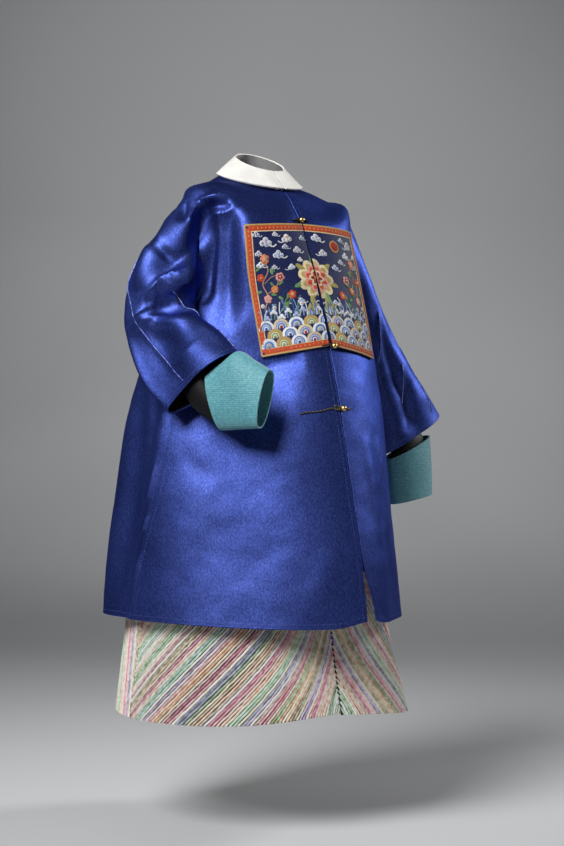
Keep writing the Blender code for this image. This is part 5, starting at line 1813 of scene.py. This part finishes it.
def add_tube(verts, faces, rings, closed=False):
    """Add a tube through some rings of points, either closed on itself or capped at both ends."""
    first, (count, sides) = len(verts), rings.shape[:2]
    verts.extend(rings.reshape(-1, 3))
    for i in range(count if closed else count - 1):
        for k in range(sides):
            a, b = first + i * sides + k, first + i * sides + (k + 1) % sides
            c, d = first + ((i + 1) % count) * sides + (k + 1) % sides, first + ((i + 1) % count) * sides + k
            faces.append((a, b, c, d))
    if not closed:
        faces.append(tuple(first + k for k in range(sides))[::-1])
        faces.append(tuple(first + (count - 1) * sides + k for k in range(sides)))


print("rings and sides of a short tube:",
      tube_rings(np.array([(0, 0, 0), (0, 0, 1.0), (0, 0, 2.0)]), 1.0, 6).shape[:2])

# %% [markdown]
# Each button is held by a frog of twisted cord, black with a few gilt threads: two round strands wind
# about one line. Each strand is a tube whose rings follow its own helix, so that the cord has the notched
# outline of the real one.

# %% Twisted cord
CORD_RADIUS, CORD_PITCH = 0.42, 2.2
STRAND_OFFSET, STRAND_RADIUS = 0.55, 0.6  # as shares of the cord's radius
RING_SPACING = 0.42  # between the rings of a strand
# two plied silk strands, one wound with a gilt thread
frog_silk = new_material("twisted_black_and_gilt_cord")
strand_colour = add(frog_silk, "Attribute", attribute_name="thread")
frog_fuzz = add(frog_silk, "TexNoise", {"Vector": add(frog_silk, "TexCoord").outputs["Object"], "Scale": 900})
add(frog_silk, "Principled", {
    "Base Color": strand_colour.outputs["Color"], "Roughness": 0.5,
    "Normal": add(frog_silk, "Bump", {"Height": frog_fuzz, "Strength": 0.3, "Distance": 0.0002})})


def twisted_cord(name, lines, material, colours):
    """Cords of two strands along some lines of points, as one mesh."""
    verts, faces, paint = [], [], []
    for line in lines:
        line = np.asarray(line, float)
        length = np.linalg.norm(np.diff(line, axis=0), axis=1).sum()
        line = smooth(line, np.linspace(0, len(line) - 1, max(6, int(length / RING_SPACING))))
        centre = tube_rings(line, 1.0, 4)
        aside, above = centre[:, 0] - line, centre[:, 1] - line
        for strand in range(2):
            spin = 2 * pi * run_length(line) / CORD_PITCH + pi * strand
            path = line + STRAND_OFFSET * CORD_RADIUS * (np.cos(spin)[:, None] * aside
                                                         + np.sin(spin)[:, None] * above)
            before = len(verts)
            add_tube(verts, faces, tube_rings(path, CORD_RADIUS * STRAND_RADIUS, 6))
            paint += [linear(colours[strand])] * (len(verts) - before)
    piece = make_object(name, (verts, faces), material)
    paint_points(piece, paint)
    return piece


print("a frog's cord is about", round(2 * CORD_RADIUS * (STRAND_OFFSET + STRAND_RADIUS), 2), "mm thick")

# %% [markdown]
# A frog has a stitched-down cord on each side of the opening. The right one ends in a loop that passes
# round the shank, and the lowest frog is the showy one: it is long, wavy, gilt, and starts with a knot.

# %% Frogs
FROG_START = {"right": 1.2, "left": 2.6}
SHORT_REACH, SHORT_FALL = 5.5, 0.5
LONG_FROG = 3
LONG_REACH = {"right": 24.0, "left": 9.0}
LONG_FALL = {"right": 3.5, "left": SHORT_FALL}
BUTTON_HEIGHTS = (-24.0, -98.5, -134.5)
BLACK, DARK, GILT = "#15151b", "#2b2620", "#6b5a3a"
FROG_LIFT, BADGE_FROG_LIFT = 0.55, 0.45  # off the coat, and off the badge
WAVE_DEPTH, WAVES = 0.35, 9  # how the long frog wavers
LOOP_ASIDE, LOOP_FORWARD = 0.5, 0.35  # from the button's middle, and from its back
LOOP_HALF = (1.5, 1.15)  # the loop round the shank: half its width and half its height
# the knot of the long frog: how far out, how far up and how far off the cloth
KNOT = ((1.6, 0.3, 0.3), (2.4, 1.3, 0.6), (3.6, 1.2, 0.5), (4.2, 0, 0.6), (3.4, -1.0, 0.5), (2.2, -0.8, 0.6),
        (1.6, 0.2, 0.4))
for number, level in enumerate(BUTTON_HEIGHTS, 1):
    base = LAID_GAP + BADGE_THICKNESS + BADGE_FROG_LIFT if number == 2 else FROG_LIFT
    for side in ("right", "left"):
        long = number == LONG_FROG
        share = np.linspace(0, 1, 9)
        start = FROG_START[side]
        out_by = start + ((LONG_REACH[side] if long else SHORT_REACH) - start) * share
        wave = (WAVE_DEPTH if long else 0) * np.sin(share * WAVES)
        fall = LONG_FALL[side] if long else SHORT_FALL
        lines = [lay(side, out_by, level - fall * share ** 1.3 + wave, base + 0 * share)]
        if side == "right":
            turns = np.linspace(0, 2 * pi, 13)
            low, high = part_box(f"button_{number}")
            middle = (np.array(low) + np.array(high)) / 2 / MM
            lines.append(np.stack([middle[0] - LOOP_ASIDE + LOOP_HALF[0] * np.cos(turns),
                                   np.full(len(turns), high[1] / MM - LOOP_FORWARD),
                                   middle[2] + LOOP_HALF[1] * np.sin(turns)], -1))
        if long and side == "right":
            out, up, off = np.array(KNOT).T
            lines.append(lay(side, out, level + up, base + off))
        twisted_cord(f"frog_cord_{number}_{side}", lines, frog_silk,
                                           (BLACK, GILT if long else DARK))
        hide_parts(f"frog_{number}_{side}")

# %% [markdown]
# Satin edges are turned in and pressed, so they stand as a small round roll that catches the light, and
# a row of tiny hand stitches dimples the cloth beside them. Both follow the cloth's own open edges. Some
# stretches have neither, so a closed edge is first split into the runs that do.

# %% Sewing silk, and the runs of an edge
# two-ply silk sewing thread, dyed a little paler than the satin
thread_blue = new_material("blue_sewing_silk")
thread_place = add(thread_blue, "TexCoord").outputs["Object"]
thread_sheen = add(thread_blue, "TexNoise", {"Vector": thread_place, "Scale": 600})
add(thread_blue, "Principled", {
    "Base Color": add(thread_blue, "ValToRGB", {"Fac": thread_sheen}, stops=((0.3, "#2a3d86"), (0.7, "#5468b8"))),
    "Roughness": 0.45})


def kept_runs(points, keep):
    """Split a closed loop into its unbroken runs of kept points."""
    count = len(points)
    if keep.all():
        return [(np.arange(count), True)]
    start = next(i for i in range(count) if not keep[i - 1] and keep[i]) if keep.any() else 0
    order = (np.arange(count) + start) % count
    runs, run = [], []
    for index in order:
        if keep[index]:
            run.append(index)
        elif run:
            runs.append((np.array(run), False))
            run = []
    if run:
        runs.append((np.array(run), False))
    return [one for one in runs if len(one[0]) > 3]


print("open edges of the surcoat's halves:", {side: len(loops) for side, loops in surcoat_edges.items()})

# %% [markdown]
# The roll is a slim tube of eight sides along the middle of the wall's open edge. Rounding the wall itself
# would need much denser cloth for the same highlight. It stops at the centre back, where the halves are
# sewn together.

# %% Rolled edges
EDGE_RADIUS = 0.56
SEAM_CLEAR = 0.8  # the roll stops this far from the centre back


def edge_roll(name, loops, material):
    """A slim roll along open edges, except at the centre back where the halves are sewn."""
    verts, faces = [], []
    for points, normals in loops:
        keep = ~((np.abs(points[:, 0]) < SEAM_CLEAR) & (points[:, 1] > 0))
        for run, closed in kept_runs(points, keep):
            line = points[run] - normals[run] * WALL / 2
            ahead = unit((np.roll(line, -1, 0) - np.roll(line, 1, 0)) if closed else np.gradient(line, axis=0))
            aside = unit(normals[run] - ahead * (normals[run] * ahead).sum(1)[:, None])
            above = np.cross(ahead, aside)
            turns = np.linspace(0, 2 * pi, 8, endpoint=False)[None, :, None]
            round_edge = np.cos(turns) * aside[:, None] + np.sin(turns) * above[:, None]
            rings = line[:, None] + EDGE_RADIUS * round_edge
            add_tube(verts, faces, rings, closed)
    return make_object(name, (verts, faces), material)


print("a pressed edge's roll is", 2 * EDGE_RADIUS, "mm thick")

# %% [markdown]
# A stitch is a slim bead that lies along the edge, a little way in from it. The nearest spot of the cloth
# is looked up for each one, so the row goes over every fold. A bump in the satin would be lighter, but it
# couldn't follow an edge that swings and folds.

# %% Hem stitches
STITCH_INSET, STITCH_SPACING = 2.3, 1.75
STITCH_HALF, STITCH_UNEVEN, STITCH_WIDE, STITCH_HIGH, STITCH_FOOT = 0.52, 0.06, 0.2, 0.16, 0.05
LOOK_AHEAD = 0.6  # along the edge, for the stitch's direction
STITCHES_CLEAR, STITCHES_TOP = 4, -14  # no stitches this near the centre back, or above this height


def hem_stitches(name, side, loops, material):
    """Tiny stitches beside the open edges, each a slim bead that lies along the edge."""
    verts, faces = [], []
    for points, normals in loops:
        at_seam = (np.abs(points[:, 0]) < STITCHES_CLEAR) & (points[:, 1] > 0)
        keep = ~(at_seam | (points[:, 2] > STITCHES_TOP))
        for run, _ in kept_runs(points, keep):
            line = points[run]
            length = run_length(line)
            for at in np.arange(1.0, length[-1] - 1.0, STITCH_SPACING):
                spot = np.array([np.interp(at, length, line[:, k]) for k in range(3)])
                following = np.array([np.interp(at + LOOK_AHEAD, length, line[:, k]) for k in range(3)])
                ahead = unit(following - spot)
                normal = normals[run][int(np.searchsorted(length, at))]
                best = None
                for sign in (1, -1):
                    aim = spot + sign * STITCH_INSET * np.cross(normal, ahead)
                    hit = surcoat_trees[side].find_nearest(Vector(aim * MM))
                    if hit[0] is not None and (best is None or hit[3] < best[3]):
                        best = hit
                foot, out = np.array(best[0]) / MM, np.array(best[1])
                across = np.cross(out, ahead)
                first = len(verts)
                half = STITCH_HALF + STITCH_UNEVEN * rng.standard_normal()
                verts.extend([foot - ahead * half, foot - across * STITCH_WIDE + out * STITCH_FOOT,
                              foot + out * STITCH_HIGH, foot + across * STITCH_WIDE + out * STITCH_FOOT,
                              foot + ahead * half])
                faces.extend([(first, first + 1, first + 2), (first, first + 2, first + 3),
                              (first + 4, first + 2, first + 1), (first + 4, first + 3, first + 2)])
    print(name, "stitches:", len(verts) // 5)
    return make_object(name, (verts, faces), material)


edges, hem_threads = {}, {}
for side in ("right", "left"):
    edges[side] = edge_roll(f"surcoat_edge_{side}", surcoat_edges[side], satin)
    hem_threads[side] = hem_stitches(f"surcoat_stitches_{side}", side, surcoat_edges[side], thread_blue)

# %% [markdown]
# Each pressed line shows as a fine light ridge of cloth on the crest of its crease, along the path that
# was carried with the cloth. Its pale colour is a painted highlight: the bright line that light draws
# along the crest.

# %% Pressed lines
PRESSED_RADIUS = 0.32
# a paler satin, whose pale colour is a painted highlight along the crest of the fold
fold_highlight_satin = new_material("rubbed_satin_fold")
fold_highlight_noise = add(fold_highlight_satin, "TexNoise", {"Vector": add(fold_highlight_satin, "TexCoord").outputs["Object"], "Scale": 300, "Detail": 1.0})
add(fold_highlight_satin, "Principled", {
    "Base Color": add(fold_highlight_satin, "ValToRGB", {"Fac": fold_highlight_noise}, stops=((0.35, "#3a4aa0"), (0.65, "#8b98dc"))),
    "Metallic": 0.6, "Roughness": 0.5})
for side in ("right", "left"):
    verts, faces = [], []
    for path in pressed_paths[side]:
        add_tube(verts, faces, tube_rings(path, PRESSED_RADIUS, 6))
    make_object(f"surcoat_pressed_{side}", (verts, faces), fold_highlight_satin)

# %% [markdown]
# Every piece of the dress is attached to its one body, and the finish that is listed for its kind of
# piece is printed beside its name.

# %% Bodies and finishes
SLOTS = {"surcoat": "blue_satin", "robe": "striped_hem", "striped": "striped_hem", "undersleeve": "black_silk",
         "horse": "turquoise_silk", "stiff": "white_linen", "badge": "embroidery", "gilt": "gilt_brass",
         "frog": "black_cord"}
for piece in [o for o in scene.collection.objects if o.type == "MESH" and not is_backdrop(o)]:
    key = piece.name.split("_")[0]
    if key in SLOTS:
        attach(piece, "root")
        print(piece.name, "is", SLOTS[key])

# %% [markdown]
# The area of each cloth, with both of its faces, is printed in square centimetres, and its size in
# millimetres.

# %% Areas and sizes of the cloths
for side in ("right", "left"):
    is_right = side == "right"
    for piece in (surcoat[side], robe[side], undersleeves[side], cuffs[side], badge_ground[side], collar[side]):
        skin = sum(polygon.area for polygon in piece.data.polygons)
        print(piece.name, "area of both faces (cm2):", round(skin * 1e4, 1),
              "size (mm):", [round(v / MM) for v in piece.dimensions])
